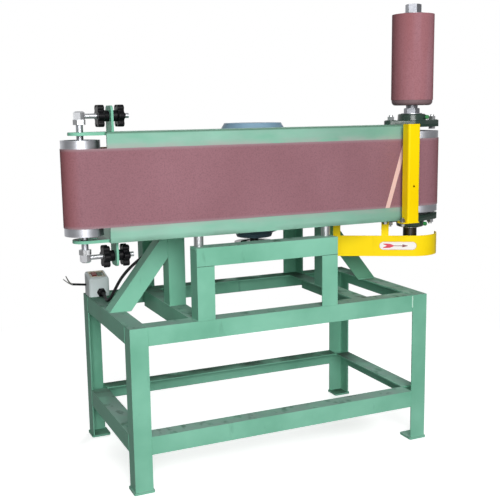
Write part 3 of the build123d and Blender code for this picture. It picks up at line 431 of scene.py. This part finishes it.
def belt_finish():
    """The belt: grit outside with dusty edges and one splice, woven cloth inside."""
    finish = Finish("abrasive_belt_cloth")
    x, y, z = finish.split(finish.place)
    outside = grit(finish, GRAIN_PALE, GRAIN_DARK, side_shade=0.5)
    height = finish.math("ABSOLUTE", finish.math("SUBTRACT", z, BELT_MIDDLE))
    at_edge = finish.spread(height, BELT_HALF - DUSTY_EDGE, BELT_HALF - 0.0005, 0, 0.65)
    outside = finish.mix(at_edge, outside, GRAIN_EDGE)
    outside = finish.mix(splice_share(finish, x, y, z), outside, SPLICE_PINK)
    weave = finish.math("MULTIPLY", finish.bands("X", WEAVE), finish.bands("Z", WEAVE))
    backing = finish.mix(weave, times(CLOTH_BACK, 0.7), CLOTH_BACK)
    finish.paint(finish.mix(inner_share(finish), outside, backing))
    return finish.material


def sleeve_finish():
    """The sanding drum's sleeve: paler grit with upright streaks of wear."""
    finish = Finish("abrasive_sleeve_cloth")
    outside = grit(finish, SLEEVE_PALE, SLEEVE_DARK, side_shade=0.25)
    streaks = finish.spread(finish.noise(34, 3, (1, 1, 0.08)), 0.42, 0.66, 0, 0.28)
    finish.paint(finish.mix(streaks, outside, OPEN_GRAIN_AND_SHADE))
    return finish.material


HEAD_GLOSS = 0.32


def plate_finish():
    """The head's plates: enamel, with bearing seats like the castings and painted shadow of the idler drum
    on the tongues.
    """
    finish = Finish("seat_enamel")
    x, _, z = finish.split(finish.place)
    coat = brushed_coat(finish, GREEN_BRIGHT, GREEN_DULL, HEAD_GLOSS)
    coat = finish.mix(finish.spread(x, PLATEN_END, PLATEN_END + 0.002), coat, CASTING)
    # Painted shadow: the plates' faces toward the belt go dark beside the idler drum.
    below = finish.math("SUBTRACT", BELT_MIDDLE, z)
    to_belt = finish.math("MULTIPLY", finish.split(finish.facing)[2], below)
    inside = finish.math("GREATER_THAN", to_belt, 0.05)
    by_idler = finish.spread(x, PLATEN_START + 0.004, PLATEN_START - 0.004, 0, 0.85)
    finish.paint(finish.mix(finish.math("MULTIPLY", inside, by_idler), coat, IDLER_SHADOW))
    return finish.material


def platen_finish():
    """The platen: dusty enamel, darker to the drive end, with painted shade along its lower edge and a
    darker line along the upper.
    """
    finish = Finish("platen_enamel")
    x, _, z = finish.split(finish.place)
    coat = brushed_coat(finish, GREEN_BRIGHT, GREEN_DULL, HEAD_GLOSS)
    over = finish.math("SUBTRACT", z, BELT_MIDDLE)
    height = finish.math("ABSOLUTE", over)
    patches = finish.noise(24, 5, (0.5, 1, 1.6))
    coat = finish.mix(finish.spread(patches, 0.3, 0.7, 0.14, 0.34), coat, DUST_FILM)
    # Darker toward the drive end.
    coat = finish.mix(finish.spread(x, -0.15, 0.4, 0, 0.34), coat, DARKER_GREEN)
    beside = finish.spread(height, BELT_HALF + 0.016, BELT_HALF, 0, 0.9)
    dusty = finish.math("MULTIPLY", beside, finish.spread(patches, 0.3, 0.65))
    coat = finish.mix(dusty, coat, BELT_DUST)
    # Painted shade along the lower edge, in patches.
    rim_shade = finish.spread(over, 0.0145 - PLATEN_HALF, -PLATEN_HALF, 0, 0.7)
    lower = finish.math("MULTIPLY", rim_shade, finish.spread(patches, 0.35, 0.6))
    upper = finish.spread(over, PLATEN_HALF - 0.0055, PLATEN_HALF - 0.0025, 0, 0.8)
    finish.paint(finish.mix(finish.math("MAXIMUM", lower, upper), coat, DARKER_GREEN))
    return finish.material


THREAD_PITCH = 0.00175
THREAD_START = -0.519
# Heights below which the drive and motor shafts are painted dark as shade.
DRIVE_SHAFT_SHADE_LEVEL = 0.672
MOTOR_SHAFT_SHADE_LEVEL = 0.615

materials = {
    "green_paint": enamel("green_enamel", GREEN_BRIGHT, GREEN_DULL, dusty=True),
    "yellow_paint": enamel("yellow_enamel", colour(255, 224, 8), colour(252, 214, 6), soiled=0.1),
    "zinc": metal("zinc_plate", ZINC, 0.28, 0.5),
    "bright_steel": turned_steel("turned_steel", STEEL),
    "dark_casting": casting("green_casting", CASTING),
    "abrasive_cloth": sleeve_finish(),
    "black_rubber": moulded("black_rubber", colour(22, 22, 24), 0.5, 0.7, 700, 0.00012, 0.3, 0.006),
    "black_plastic": moulded("black_plastic", colour(13, 13, 16), 0.3, 0.45, shine=0.16, dusting=0.004),
    "cowl_paint": enamel("cowl_enamel", colour(144, 176, 198), colour(124, 156, 178)),
    "motor_paint": enamel("motor_enamel", colour(96, 118, 132), colour(80, 100, 114)),
    "switch_plastic": moulded("grey_plastic", colour(226, 236, 237), 0.35, 0.55),
    "red_plastic": moulded("red_plastic", colour(136, 52, 46), 0.3, 0.45),
    "green_plastic": moulded("green_plastic", colour(66, 92, 62), 0.3, 0.45),
}
panel_black = moulded("panel_black", colour(84, 86, 68), 0.4, 0.6)
cream = moulded("cream_trim", colour(222, 214, 190), 0.35, 0.5)
white_film = moulded("white_film", colour(244, 240, 236), 0.3, 0.45)
red_ink = moulded("red_ink", colour(220, 60, 84), 0.35, 0.5)
dark_ink = moulded("dark_ink", colour(132, 64, 72), 0.35, 0.5)
sign_line = moulded("sign_line", colour(196, 150, 120), 0.35, 0.5)
cap_green = moulded("cap_green", colour(44, 136, 70), 0.3, 0.45)
wire_grey = moulded("wire_grey", colour(140, 140, 136), 0.4, 0.6)
# Pale green standing in for a highlight on a weld.
weld_highlight = moulded("weld_highlight", colour(196, 232, 214), 0.4, 0.6)
bolt_steel = metal("bolt_steel", colour(150, 152, 152), 0.3, 0.5)

seat_enamel = plate_finish()
own_finish = {
    "abrasive_belt": belt_finish(),
    "tension_rods": thread("rolled_thread", colour(238, 240, 244), THREAD_PITCH, THREAD_START),
    "sanding_drum": moulded("drum_rubber", colour(122, 98, 102), 0.5, 0.7, 700, 0.00012, 0.35, 0.01),
    "top_plate": seat_enamel,
    "bottom_plate": seat_enamel,
    "platen": platen_finish(),
    # A darker copy of the green enamel with heavier marks: painted shade under the head and guard.
    "right_brace": enamel("brace_shaded_enamel", colour(112, 172, 144), colour(92, 150, 122), soiled=0.7),
    # The shafts and the drum's nuts take the darker steel: painted shade.
    "drive_shaft": turned_steel("shaft_steel", SHADED_STEEL, DRIVE_SHAFT_SHADE_LEVEL),
    "motor_shaft": turned_steel("motor_steel", SHADED_STEEL, MOTOR_SHAFT_SHADE_LEVEL),
    "drum_nuts": metal("nut_steel", SHADED_STEEL, 0.4, 0.56),
    "belt_guard": enamel("guard_enamel", colour(255, 226, 26), colour(255, 219, 18), soiled=0.1),
}
for name, solid in nodes.items():
    solid.data.materials.clear()
    solid.data.materials.append(own_finish.get(name) or materials[slot_of[name]])


# Pieces and their shapes

def add_piece(name, data, material):
    """Make a mesh or curve a piece that rides on the frame."""
    data.materials.append(material)
    piece = bpy.data.objects.new(name, data)
    bpy.context.scene.collection.objects.link(piece)
    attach(piece, "frame")
    return piece


def make(name, shape, material, sharp=35):
    """Turn a finished bmesh into a piece, with edges over the sharp angle kept crisp."""
    mesh = bpy.data.meshes.new(name)
    bmesh.ops.recalc_face_normals(shape, faces=shape.faces)
    shape.to_mesh(mesh)
    shape.free()
    mesh.shade_smooth()
    mesh.set_sharp_from_angle(angle=radians(sharp))
    return add_piece(name, mesh, material)


def at(origin, axis, turn=0.0):
    """A frame at origin whose z runs along axis."""
    turned = Vector(axis).to_track_quat("Z", "Y").to_matrix().to_4x4()
    return Matrix.Translation(origin) @ turned @ Matrix.Rotation(turn, 4, "Z")


def join_rings(shape, rings, closed=True):
    """Faces between neighbouring rings of points, closed at both ends unless told not to."""
    for lower, upper in zip(rings, rings[1:]):
        count = len(lower)
        for i in range(count):
            j = (i + 1) % count
            shape.faces.new((lower[i], lower[j], upper[j], upper[i]))
    if closed:
        shape.faces.new(rings[0])
        shape.faces.new(rings[-1])


def add_ring(shape, place, radius, height, segments):
    """A round ring of points about the place's z axis."""
    turns = [2 * pi * i / segments for i in range(segments)]
    points = [Vector((radius * cos(turn), radius * sin(turn), height)) for turn in turns]
    return [shape.verts.new(place @ point) for point in points]


def add_round(shape, place, profile, segments=28):
    """A turned form: profile lists radius and height from its base to its tip."""
    join_rings(shape, [add_ring(shape, place, radius, height, segments) for radius, height in profile])


def add_hexagon(shape, place, flats, height, segments=36):
    """A hexagonal head with its upper corners turned off at 30 degrees."""
    half = flats / 2
    base, waist, crown = [], [], []
    for i in range(segments):
        angle = 2 * pi * i / segments
        reach = half / cos((angle % (pi / 3)) - pi / 6)
        way = Vector((cos(angle), sin(angle), 0))
        drop = (reach - 0.96 * half) * tan(radians(30))
        base.append(shape.verts.new(place @ (way * reach)))
        waist.append(shape.verts.new(place @ (way * reach + UP * (height - drop))))
        crown.append(shape.verts.new(place @ (way * 0.94 * half + UP * height)))
    join_rings(shape, [base, waist, crown])


WASHER = 0.0018
WASHER_EDGE = 0.0004
HEAD_SHARE = 0.6
STUD_REACH = 0.0038
STUD_EDGE = 0.0008
STUD_SUNK = 0.0002


def add_bolt(shape, origin, axis, flats, turn=0.0):
    """A washer with a hexagon head on it."""
    place = at(origin, axis, turn)
    rim_shade = 0.62 * flats
    add_round(shape, place, [(rim_shade, 0), (rim_shade, WASHER - WASHER_EDGE), (rim_shade - WASHER_EDGE, WASHER)])
    add_hexagon(shape, place @ Matrix.Translation(UP * WASHER), flats, HEAD_SHARE * flats)


def add_stud_end(shape, origin, axis, flats, turn=0.0):
    """A nut on its washer with the bolt's end standing out of it."""
    add_bolt(shape, origin, axis, flats, turn)
    top = WASHER + HEAD_SHARE * flats - STUD_SUNK
    shank = 0.3 * flats
    end = [(shank, 0), (shank, STUD_REACH - STUD_EDGE), (shank - STUD_EDGE, STUD_REACH)]
    add_round(shape, at(origin + axis * top, axis), end)


def add_screw(shape, origin, axis, radius, turn=0.0):
    """A pan-head screw with a cross recess left open between four quarters."""
    place = at(origin, axis, turn)
    rise = 0.62 * radius
    slit, reach, bulge = 0.11 * radius, 0.8 * radius, 0.57 * radius
    add_round(shape, place, [(radius, 0), (radius, 0.35 * rise), (0.86 * radius, 0.75 * rise)])
    for quarter in range(4):
        spin = Matrix.Rotation(quarter * pi / 2, 4, "Z")
        low, high = [], []
        for x, y in ((slit, slit), (reach, slit), (bulge, bulge), (slit, reach)):
            low.append(shape.verts.new(place @ spin @ Vector((x, y, 0.7 * rise))))
            dome = rise * (1 - 0.25 * (x * x + y * y) / radius**2)
            high.append(shape.verts.new(place @ spin @ Vector((x, y, dome))))
        join_rings(shape, [low, high])


BEAD_STEP = 0.0011
BEAD_SIDES = 10
RIPPLE_PITCH = 0.0042


def add_bead(shape, start, end, size):
    """A rippled weld bead along a straight seam, thinner at its ends and a little unsteady."""
    along = end - start
    count = max(4, round(along.length / BEAD_STEP))
    place = at(start, along)
    rings = []
    for i in range(count + 1):
        run = along.length * i / count
        taper = min(1.0, 0.35 + 8 * min(i, count - i) / count)
        ripple = 0.86 + 0.14 * cos(2 * pi * run / RIPPLE_PITCH) + 0.05 * sin(run * 317)
        drift = Vector((sin(run * 210), cos(run * 163), 0)) * 0.12 * size
        drifted = place @ Matrix.Translation(drift)
        rings.append(add_ring(shape, drifted, size * taper * ripple, run, BEAD_SIDES))
    join_rings(shape, rings)


def rectangle(left, right, low, high):
    """The corners of a rectangle, anticlockwise."""
    return [(left, low), (right, low), (right, high), (left, high)]


def add_plate(shape, place, outline, thickness):
    """A flat plate with the outline's points, standing on the frame's xy plane."""
    low = [shape.verts.new(place @ Vector((x, y, 0))) for x, y in outline]
    high = [shape.verts.new(place @ Vector((x, y, thickness))) for x, y in outline]
    join_rings(shape, [low, high])


# Cords

MOTOR_LEAD_ROUTE = [
    mm(-407.75, 170.5, 468),
    mm(-407.75, 156.5, 468),
    mm(-409.75, 132.5, 464),
    mm(-414.75, 102.5, 462.5),
    mm(-416.75, 78.5, 464),
    mm(-413.75, 58.5, 475),
    mm(-406.75, 45.5, 494),
    mm(-396.75, 39, 517),
    mm(-382.75, 35, 540),
    mm(-363.75, 30.5, 562),
    mm(-340.75, 26.5, 582),
    mm(-314.75, 29.5, 598),
    mm(-278.75, 43.5, 615),
    mm(-240.75, 63.5, 633),
    mm(-200.75, 87.5, 650),
    mm(-160.75, 104.5, 662),
    mm(-119.75, 106.5, 668),
    mm(-87.75, 107.5, 673),
    mm(-60.75, 107.5, 691),
    mm(-47.75, 107.5, 719),
    mm(-47.75, 107.5, 740),
]
SUPPLY_ROUTE = [mm(-443.75, 231.5, 487), mm(-465.5, 229.5, 490), mm(-486.5, 226.5, 493)]
WIRE_TIPS = [mm(-20, -6, 26), mm(-27.5, 0, 20), mm(-17, 5, 27)]
WIRE_SPREAD = 0.002
WIRE_STRAIGHT = 0.009


def cord_curve(name, points, diameter, material):
    """A round cord on a smooth curve, with the route's points as its control points."""
    data = bpy.data.curves.new(name, "CURVE")
    data.dimensions = "3D"
    data.bevel_depth = diameter / 2
    data.bevel_resolution = 6
    data.resolution_u = 16
    data.use_fill_caps = True
    spline = data.splines.new("NURBS")
    spline.points.add(len(points) - 1)
    for knot, point in zip(spline.points, points):
        knot.co = (*point, 1.0)
    spline.order_u = 3
    spline.use_endpoint_u = True
    return add_piece(name, data, material)


def motor_cable():
    """The lead from the switch box's gland along the rail and brace to the motor's terminal box."""
    route = MOTOR_LEAD_ROUTE
    motor_lead = cord_curve("motor_cable", route, 0.009, materials["black_rubber"])
    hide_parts("motor_lead")


def supply_cable():
    """The cut stub of the supply lead, with its three bare wires splayed."""
    stub = SUPPLY_ROUTE
    supply = cord_curve("supply_cable", stub, 0.007, materials["black_rubber"])
    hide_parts("supply_lead")
    heading = (stub[2] - stub[1]).normalized()
    side = heading.cross(UP).normalized()
    over = side.cross(heading)
    for number, reach in enumerate(WIRE_TIPS):
        turn = 2 * pi * number / 3 + pi / 2
        start = stub[2] + (side * cos(turn) + over * sin(turn)) * WIRE_SPREAD
        points = [start, start + heading * WIRE_STRAIGHT, start + reach]
        wire = cord_curve(f"supply_wire_{number + 1}", points, 0.003, wire_grey)


# Fasteners: bolts by the width of their flats, screws by their radius

SPACER_BOLT, STOP_BOLT, STRAP_BOLT, FOOT_BOLT = 0.018, 0.013, 0.013, 0.017
SPACER_RADIUS = 0.013
STOP_BOLTS = (mm(413.25, -192, 677), mm(385.75, -251, 677))
STOP_STUD = mm(385.75, -251, 680)
STRAP_PLACES = (0.080, 0.225)
STRAP_OUT = 0.088
STRAP_UNDERSIDE = 0.676
FOOT_OUT = 0.086
FOOT_ROWS = (0.675, 0.815)
FOOT_PAD, FOOT_RAIL = 0.2005, 0.2175
COWL_RADIUS = 0.0998
COWL_SCREW, COWL_SCREW_LEVEL = 0.0045, 0.891
TERMINAL_SCREW, TERMINAL_HALF = 0.0042, 0.034
TERMINAL_ROWS = (0.766, 0.838)
GREASE_WAY = Vector((cos(radians(60)), -sin(radians(60)), 0))
GREASE_OUT = 0.0458
GREASE_LEVELS = (0.982, 0.659)
GREASE_CAP = ((0.0052, 0), (0.0062, 0.0012), (0.0062, 0.0062), (0.0054, 0.0086), (0.0034, 0.01))


def head_bolts():
    """The bolts under the bridge's spacers and those of the stop bar's tab."""
    bolts = bmesh.new()
    low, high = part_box("bridge_spacers")
    middle = (low.y + high.y) / 2
    for x in (low.x + SPACER_RADIUS, high.x - SPACER_RADIUS):
        add_bolt(bolts, Vector((x, middle, BRIDGE_UNDERSIDE)), DOWN, SPACER_BOLT, 0.2)
    for place in STOP_BOLTS:
        add_bolt(bolts, place, DOWN, STOP_BOLT, 0.4)
    add_stud_end(bolts, STOP_STUD, UP, STOP_BOLT, 0.1)
    make("head_bolts", bolts, bolt_steel)


def guard_bolts():
    """The bolts that hold the guard's straps under the bottom plate."""
    straps = bmesh.new()
    for run in STRAP_PLACES:
        place = DRIVE + GUARD_WAY * run + GUARD_OUT * STRAP_OUT + UP * STRAP_UNDERSIDE
        add_bolt(straps, place, DOWN, STRAP_BOLT, 0.5)
    make("guard_bolts", straps, bolt_steel)


def motor_fasteners():
    """The bolts of the motor's feet, and the screws of its cowl and terminal box."""
    feet = bmesh.new()
    for way in (1, -1):
        for level in FOOT_ROWS:
            x = MOTOR.x + way * FOOT_OUT
            add_bolt(feet, Vector((x, FOOT_PAD, level)), SOUTH, FOOT_BOLT, 0.3 * way)
            add_stud_end(feet, Vector((x, FOOT_RAIL, level)), NORTH, FOOT_BOLT, 0.2)
    make("motor_foot_bolts", feet, bolt_steel)

    screws = bmesh.new()
    for number in range(4):
        angle = pi / 4 + number * pi / 2
        way = Vector((cos(angle), sin(angle), 0))
        add_screw(screws, MOTOR + way * COWL_RADIUS + UP * COWL_SCREW_LEVEL, way, COWL_SCREW, 0.3)
    terminal_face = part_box("motor_body")[0].x
    for y in (MOTOR.y - TERMINAL_HALF, MOTOR.y + TERMINAL_HALF):
        for level in TERMINAL_ROWS:
            add_screw(screws, Vector((terminal_face, y, level)), WEST, TERMINAL_SCREW, 0.4)
    make("motor_screws", screws, bolt_steel)


def grease_caps():
    """The plastic caps on the bearings' grease nipples."""
    caps = bmesh.new()
    for level in GREASE_LEVELS:
        add_round(caps, at(DRIVE + GREASE_WAY * GREASE_OUT + UP * level, GREASE_WAY), GREASE_CAP, 24)
    make("grease_caps", caps, cap_green)


# Direction sign on the guard's front wall. Its forms list the run from its middle, then heights.

GUARD_RADIUS = 0.081
SIGN_MIDDLE, SIGN_LEVEL = 0.041, 0.5990
SIGN_EDGE_SIZE = (0.112, 0.0255)
SIGN_FILM_SIZE = (0.1095, 0.023)
EDGE_LIFT = (0.00002, 0.0002)
FILM_LIFT = (0.00012, 0.00035)
INK_LIFT = (0.0003, 0.0005)
ARROW_TIP = ((-0.0300, 0.0003), (-0.0215, 0.0026), (-0.0135, 0.0046))
ARROW_SHAFT = ((-0.0136, 0.0010), (0.0120, 0.0010))
FEATHERS = ((0.0119, 0.0010), (0.0170, 0.0034), (0.0240, 0.0060), (0.0330, 0.0066))
FEATHER_ENDS = ((0.0329, 0.0000, 0.0066), (0.0440, 0.0048, 0.0068))


def on_guard(run, rise, lift):
    """A point of the guard's front wall: run from the drive axis along it, then round its end."""
    foot = DRIVE + UP * rise
    reach = GUARD_RADIUS + lift
    if run >= 0:
        return foot + GUARD_WAY * run + GUARD_OUT * reach
    turn = -run / GUARD_RADIUS
    return foot + (GUARD_OUT * cos(turn) - GUARD_WAY * sin(turn)) * reach


def add_film(shape, outline, lift):
    """A thin film on the guard: outline lists its run, lower edge and upper edge from the middle."""
    low, high = lift
    rings = []
    for run, under, over in outline:
        corners = ((under, low), (over, low), (over, high), (under, high))
        points = [on_guard(SIGN_MIDDLE + run, SIGN_LEVEL + rise, out) for rise, out in corners]
        rings.append([shape.verts.new(point) for point in points])
    join_rings(shape, rings)


def even(outline):
    """An outline that is as high above the middle as below it."""
    return [(run, -half, half) for run, half in outline]


def pill(length, height, steps=40):
    """The outline of a strip with round ends."""
    radius = height / 2
    rows = []
    for i in range(steps + 1):
        run = -length * cos(pi * i / steps) / 2
        past = max(0.0, abs(run) - (length / 2 - radius))
        rows.append((run, max(0.0004**2, radius**2 - past**2) ** 0.5))
    return even(rows)


def direction_sign():
    """A white strip with a fine edge and an arrow, whose feathers part behind its shaft."""
    edge, film, arrow, point = (bmesh.new() for _ in range(4))
    add_film(edge, pill(*SIGN_EDGE_SIZE), EDGE_LIFT)
    add_film(film, pill(*SIGN_FILM_SIZE), FILM_LIFT)
    add_film(point, even(ARROW_TIP), INK_LIFT)
    add_film(point, even(ARROW_SHAFT), INK_LIFT)
    add_film(arrow, even(FEATHERS), INK_LIFT)
    add_film(arrow, FEATHER_ENDS, INK_LIFT)
    add_film(arrow, [(run, -outer, -inner) for run, inner, outer in FEATHER_ENDS], INK_LIFT)
    make("sign_edge", edge, sign_line)
    make("sign_film", film, white_film)
    make("sign_arrow", arrow, red_ink)
    make("sign_point", point, dark_ink)


# Switch box trim, in a frame on the middle of the sloping panel

PANEL_MIDDLE = mm(-412.25, 218.5, 520)
PANEL_SLOPE = radians(14.47)
# Half width, half depth and height of the rim in mm, from its outer foot over its crest into the recess
RIM = ((23.6, 20.6, 0.02), (23, 20, 0.9), (20.7, 17.7, 0.9), (20.5, 17.5, -2.9))
STRIP_HALF = 0.0205
STRIP_EDGES = ((-0.0175, -0.0116), (0.0116, 0.0175))
STRIP_FLOOR, STRIP_THICKNESS = -0.003, 0.0004
PANEL_SCREWS = (mm(0, -14.5, -2.6), mm(0, 14.5, -2.6))
PANEL_SCREW = 0.0022


def switch_trim():
    """The cream rim round the buttons, the dark strips beside them and the panel's screws."""
    upslope = Vector((0, cos(PANEL_SLOPE), sin(PANEL_SLOPE)))
    outward = Vector((0, -sin(PANEL_SLOPE), cos(PANEL_SLOPE)))
    tilted = Matrix((EAST, upslope, outward)).transposed().to_4x4()
    place = Matrix.Translation(PANEL_MIDDLE) @ tilted

    trim = bmesh.new()
    rings = []
    for half_width, half_depth, rise in RIM:
        points = [mm(half_width * x, half_depth * y, rise) for x, y in CORNERS]
        rings.append([trim.verts.new(place @ point) for point in points])
    join_rings(trim, rings, closed=False)
    make("switch_frame", trim, cream)

    panel = bmesh.new()
    floor = place @ Matrix.Translation(UP * STRIP_FLOOR)
    for low, high in STRIP_EDGES:
        add_plate(panel, floor, rectangle(-STRIP_HALF, STRIP_HALF, low, high), STRIP_THICKNESS)
    make("switch_panel", panel, panel_black)

    screws = bmesh.new()
    for spot in PANEL_SCREWS:
        add_screw(screws, place @ spot, outward, PANEL_SCREW, 0.5)
    make("switch_screws", screws, bolt_steel)


# Weld beads of the stand and head

SEAM_BEAD = 0.0013
RAIL_BEAD = 0.0014
SIDE_BEAD = 0.0016
PLATE_BEAD = 0.0018
POST_BEAD = 0.002
HIGHLIGHT_BEAD = 0.0022
BEAD_SHARP = 60
# Where a seam stops short of an edge, and the lengths of seams that don't run the whole leg
RAIL_SHORT = 0.003
TOE_SHORT = 0.0025
HIGHLIGHT_INSET, HIGHLIGHT_DOWN = 0.001, 0.039
BRIDGE_INSET, BRIDGE_CROWN = 0.005, 0.0435
BRIDGE_FOOT = 0.0485
BRACE_FOOT, BRACE_CROWN = 0.06355, 0.06325
BRACE_SEAM_DOWN, BRACE_SEAM = 0.081, 0.079
BRACKET_INSET, BRACKET_SEAM = 0.0005, 0.054
RAIL_INSET, RAIL_SEAM = 0.0015, 0.046


def stand_welds():
    """The seams of the stand's rails, stretchers and feet, and a pale bead painted as a highlight on the
    front rail's right joint.
    """
    beads = bmesh.new()

    def seam(start, run, size):
        add_bead(beads, start, start + run, size)

    for x, inward in ((LEFT, EAST), (RIGHT, WEST)):
        for y, rearward_shade in ((FRONT, NORTH), (REAR, SOUTH)):
            for top, short in ((STAND_TOP, RAIL_SHORT), (STRETCHER_TOP, 0)):
                base = Vector((x, y, top - LEG))
                along = base + inward * LEG
                seam(along, UP * LEG, SEAM_BEAD)
                seam(along + UP * LEG, rearward_shade * (LEG - TOE_SHORT), SEAM_BEAD)
                seam(base + rearward_shade * LEG, UP * (LEG - short), SEAM_BEAD)
            foot = Vector((x, y, FOOT_TOP))
            seam(foot, inward * LEG, PLATE_BEAD)
            seam(foot, rearward_shade * LEG, PLATE_BEAD)
    make("stand_welds", beads, materials["green_paint"], sharp=BEAD_SHARP)

    # Painted highlight: a pale bead on the front rail's right joint.
    highlight_shape = bmesh.new()
    highlight_top = Vector((RIGHT - LEG - HIGHLIGHT_INSET, FRONT, STAND_TOP))
    add_bead(highlight_shape, highlight_top + DOWN * HIGHLIGHT_DOWN, highlight_top + DOWN * HIGHLIGHT_INSET, HIGHLIGHT_BEAD)
    make("painted_weld_highlight", highlight_shape, weld_highlight, sharp=BEAD_SHARP)


def post_welds():
    """The seams of the posts, bridge, braces, tension brackets and motor rails."""
    beads = bmesh.new()

    def seam(x, y, z, run, size):
        start = Vector((x, y, z))
        add_bead(beads, start, start + run, size)

    left_front, right_front = posts_low.y, posts_high.y - LEG
    for x, y in ((POST_LEFT, left_front), (POST_RIGHT - LEG, right_front)):
        for z in (STAND_TOP, HEAD_BASE):
            seam(x, y, z, EAST * LEG, POST_BEAD)
            seam(x, y, z, NORTH * LEG, POST_BEAD)
    for x, inward in ((BRIDGE_LEFT, EAST), (BRIDGE_RIGHT, WEST)):
        seam(x, FRONT, STAND_TOP, inward * LEG, RAIL_BEAD)
        seam(x, FRONT, STAND_TOP, NORTH * BRIDGE_FOOT, SIDE_BEAD)
        seam(x, FRONT + BRIDGE_INSET, BRIDGE_UNDERSIDE, NORTH * BRIDGE_CROWN, SIDE_BEAD)
    for x, inward in ((POST_LEFT, EAST), (POST_RIGHT, WEST)):
        seam(x, REAR, STAND_TOP, inward * LEG, RAIL_BEAD)
        seam(x, REAR - LEG, STAND_TOP, NORTH * LEG, SIDE_BEAD)

    left_low, right_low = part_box("left_brace")[0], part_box("right_brace")[0]
    right_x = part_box("right_brace")[1].x
    for x, y, inward in ((left_low.x, left_low.y, EAST), (right_x, right_low.y, WEST)):
        seam(x, y, STAND_TOP, inward * BRACE_FOOT, POST_BEAD)
        seam(x, y, STAND_TOP, NORTH * LEG, POST_BEAD)
    seam(POST_LEFT, left_front, HEAD_BASE - BRACE_SEAM_DOWN, UP * BRACE_SEAM, POST_BEAD)
    seam(POST_RIGHT, right_low.y, HEAD_BASE, WEST * BRACE_CROWN, POST_BEAD)

    bracket_low, bracket_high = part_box("tension_brackets")
    for x in (bracket_low.x, bracket_high.x):
        for z in (HEAD_TOP, HEAD_BASE):
            seam(x, bracket_low.y + BRACKET_INSET, z, NORTH * BRACKET_SEAM, PLATE_BEAD)
    rails_low, rails_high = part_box("motor_rails")
    for x in (rails_low.x, rails_high.x):
        for z in (rails_low.z + LEG, rails_high.z):
            seam(x, rails_low.y + RAIL_INSET, z, NORTH * RAIL_SEAM, SIDE_BEAD)
    make("post_welds", beads, materials["green_paint"], sharp=BEAD_SHARP)


JOINT_HALF = 0.0248
JOINT_GAP = 0.0006
JOINT_SHADE_FILM = 0.00012


def joint_shade_lines():
    """A dark film painted as the shade in the open joint between each bridge post and the rail's front leg.
    """
    lines = bmesh.new()
    outline = rectangle(-JOINT_HALF, JOINT_HALF, -JOINT_GAP, JOINT_GAP)
    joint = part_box("bridge_rail")[0].z
    for x in (BRIDGE_LEFT + LEG / 2, BRIDGE_RIGHT - LEG / 2):
        # Painted shade: a dark film over each joint.
        add_plate(lines, at(Vector((x, FRONT, joint)), SOUTH), outline, JOINT_SHADE_FILM)
    make("joint_shade_lines", lines, materials["dark_casting"])


# Studio

LAMPS = (
    ("key", Vector((-0.95, -3.4, 1.9)), 2.6, 150),
    ("rear", Vector((2.0, 3.0, 1.4)), 2.2, 100),
)
LAMP_AIM = Vector((0, -0.05, 0.7))
AMBIENT = 0.09
ROOM = 0.3
FLOOR_REACH = 12
FLOOR_LEVEL = -0.0003
FLOOR_SHADE = (0.8, 0.8, 0.8, 1)
FLOOR_BOUNCE = (0.2, 0.2, 0.2, 1)
FLOOR_GLOW = 0.62


def seen_directly(shading, place, front, back):
    """One for rays from the camera or through glass. Mirrored rays see the backdrop and a dimmer room."""
    path = shading.add("LightPath").outputs
    behind = shading.spread(shading.split(place)[1], front, back, ROOM, 1.0)
    seen = shading.math("MULTIPLY", path["Is Glossy Ray"], behind)
    for ray in ("Is Camera Ray", "Is Transmission Ray"):
        seen = shading.math("MAXIMUM", seen, path[ray])
    return seen


def floor_finish():
    """White to the eye, with the object's shadow near it, and a modest bounce for lighting."""
    finish = Finish("floor", roughness=0.9, emission_color=WHITE)
    finish.shine(0.0)
    seen = seen_directly(finish, finish.place, 2.5, 6.5)
    level = finish.vector("MULTIPLY", finish.place, (1, 1, 0))
    far = finish.spread(finish.vector("DOT_PRODUCT", level, finish.place), 0.8, 3.2)
    near = finish.mix(far, FLOOR_SHADE, BLACK)
    finish.paint(finish.mix(seen, FLOOR_BOUNCE, near))
    glow = finish.spread(far, 0, 1, FLOOR_GLOW, 1.0)
    finish.link(finish.math("MULTIPLY", glow, seen), finish.shader.inputs["Emission Strength"])
    return finish.material


def backdrop():
    """A white world and floor, which light the object far less than they show."""
    scene = bpy.context.scene
    scene.view_settings.view_transform = "Standard"
    scene.world = bpy.data.worlds.new("studio")
    scene.world.use_nodes = True
    sky = Shading(scene.world.node_tree)
    background = sky.tree.nodes["Background"].inputs
    background["Color"].default_value = WHITE
    seen = seen_directly(sky, sky.add("TexCoord").outputs["Generated"], 0.3, 0.95)
    sky.link(sky.spread(seen, 0, 1, AMBIENT, 1.0), background["Strength"])

    floor_mesh = bpy.data.meshes.new("floor")
    corners = [(x * FLOOR_REACH, y * FLOOR_REACH, FLOOR_LEVEL) for x, y in CORNERS]
    floor_mesh.from_pydata(corners, [], [(0, 1, 2, 3)])
    floor_mesh.materials.append(floor_finish())
    floor = bpy.data.objects.new("floor", floor_mesh)
    scene.collection.objects.link(floor)


def lamps():
    """A soft key lamp in front and a rear lamp, which mirrored rays don't see."""
    for name, place, size, power in LAMPS:
        lamp = bpy.data.lights.new(name, "AREA")
        lamp.shape = "DISK"
        lamp.size = size
        lamp.energy = power
        stand = bpy.data.objects.new(name, lamp)
        turned = (LAMP_AIM - place).to_track_quat("-Z", "Y").to_matrix().to_4x4()
        stand.matrix_world = Matrix.Translation(place) @ turned
        stand.visible_glossy = name == "key"
        bpy.context.scene.collection.objects.link(stand)


photo_camera()
motor_cable()
supply_cable()
head_bolts()
guard_bolts()
motor_fasteners()
grease_caps()
direction_sign()
switch_trim()
stand_welds()
post_welds()
joint_shade_lines()
backdrop()
lamps()
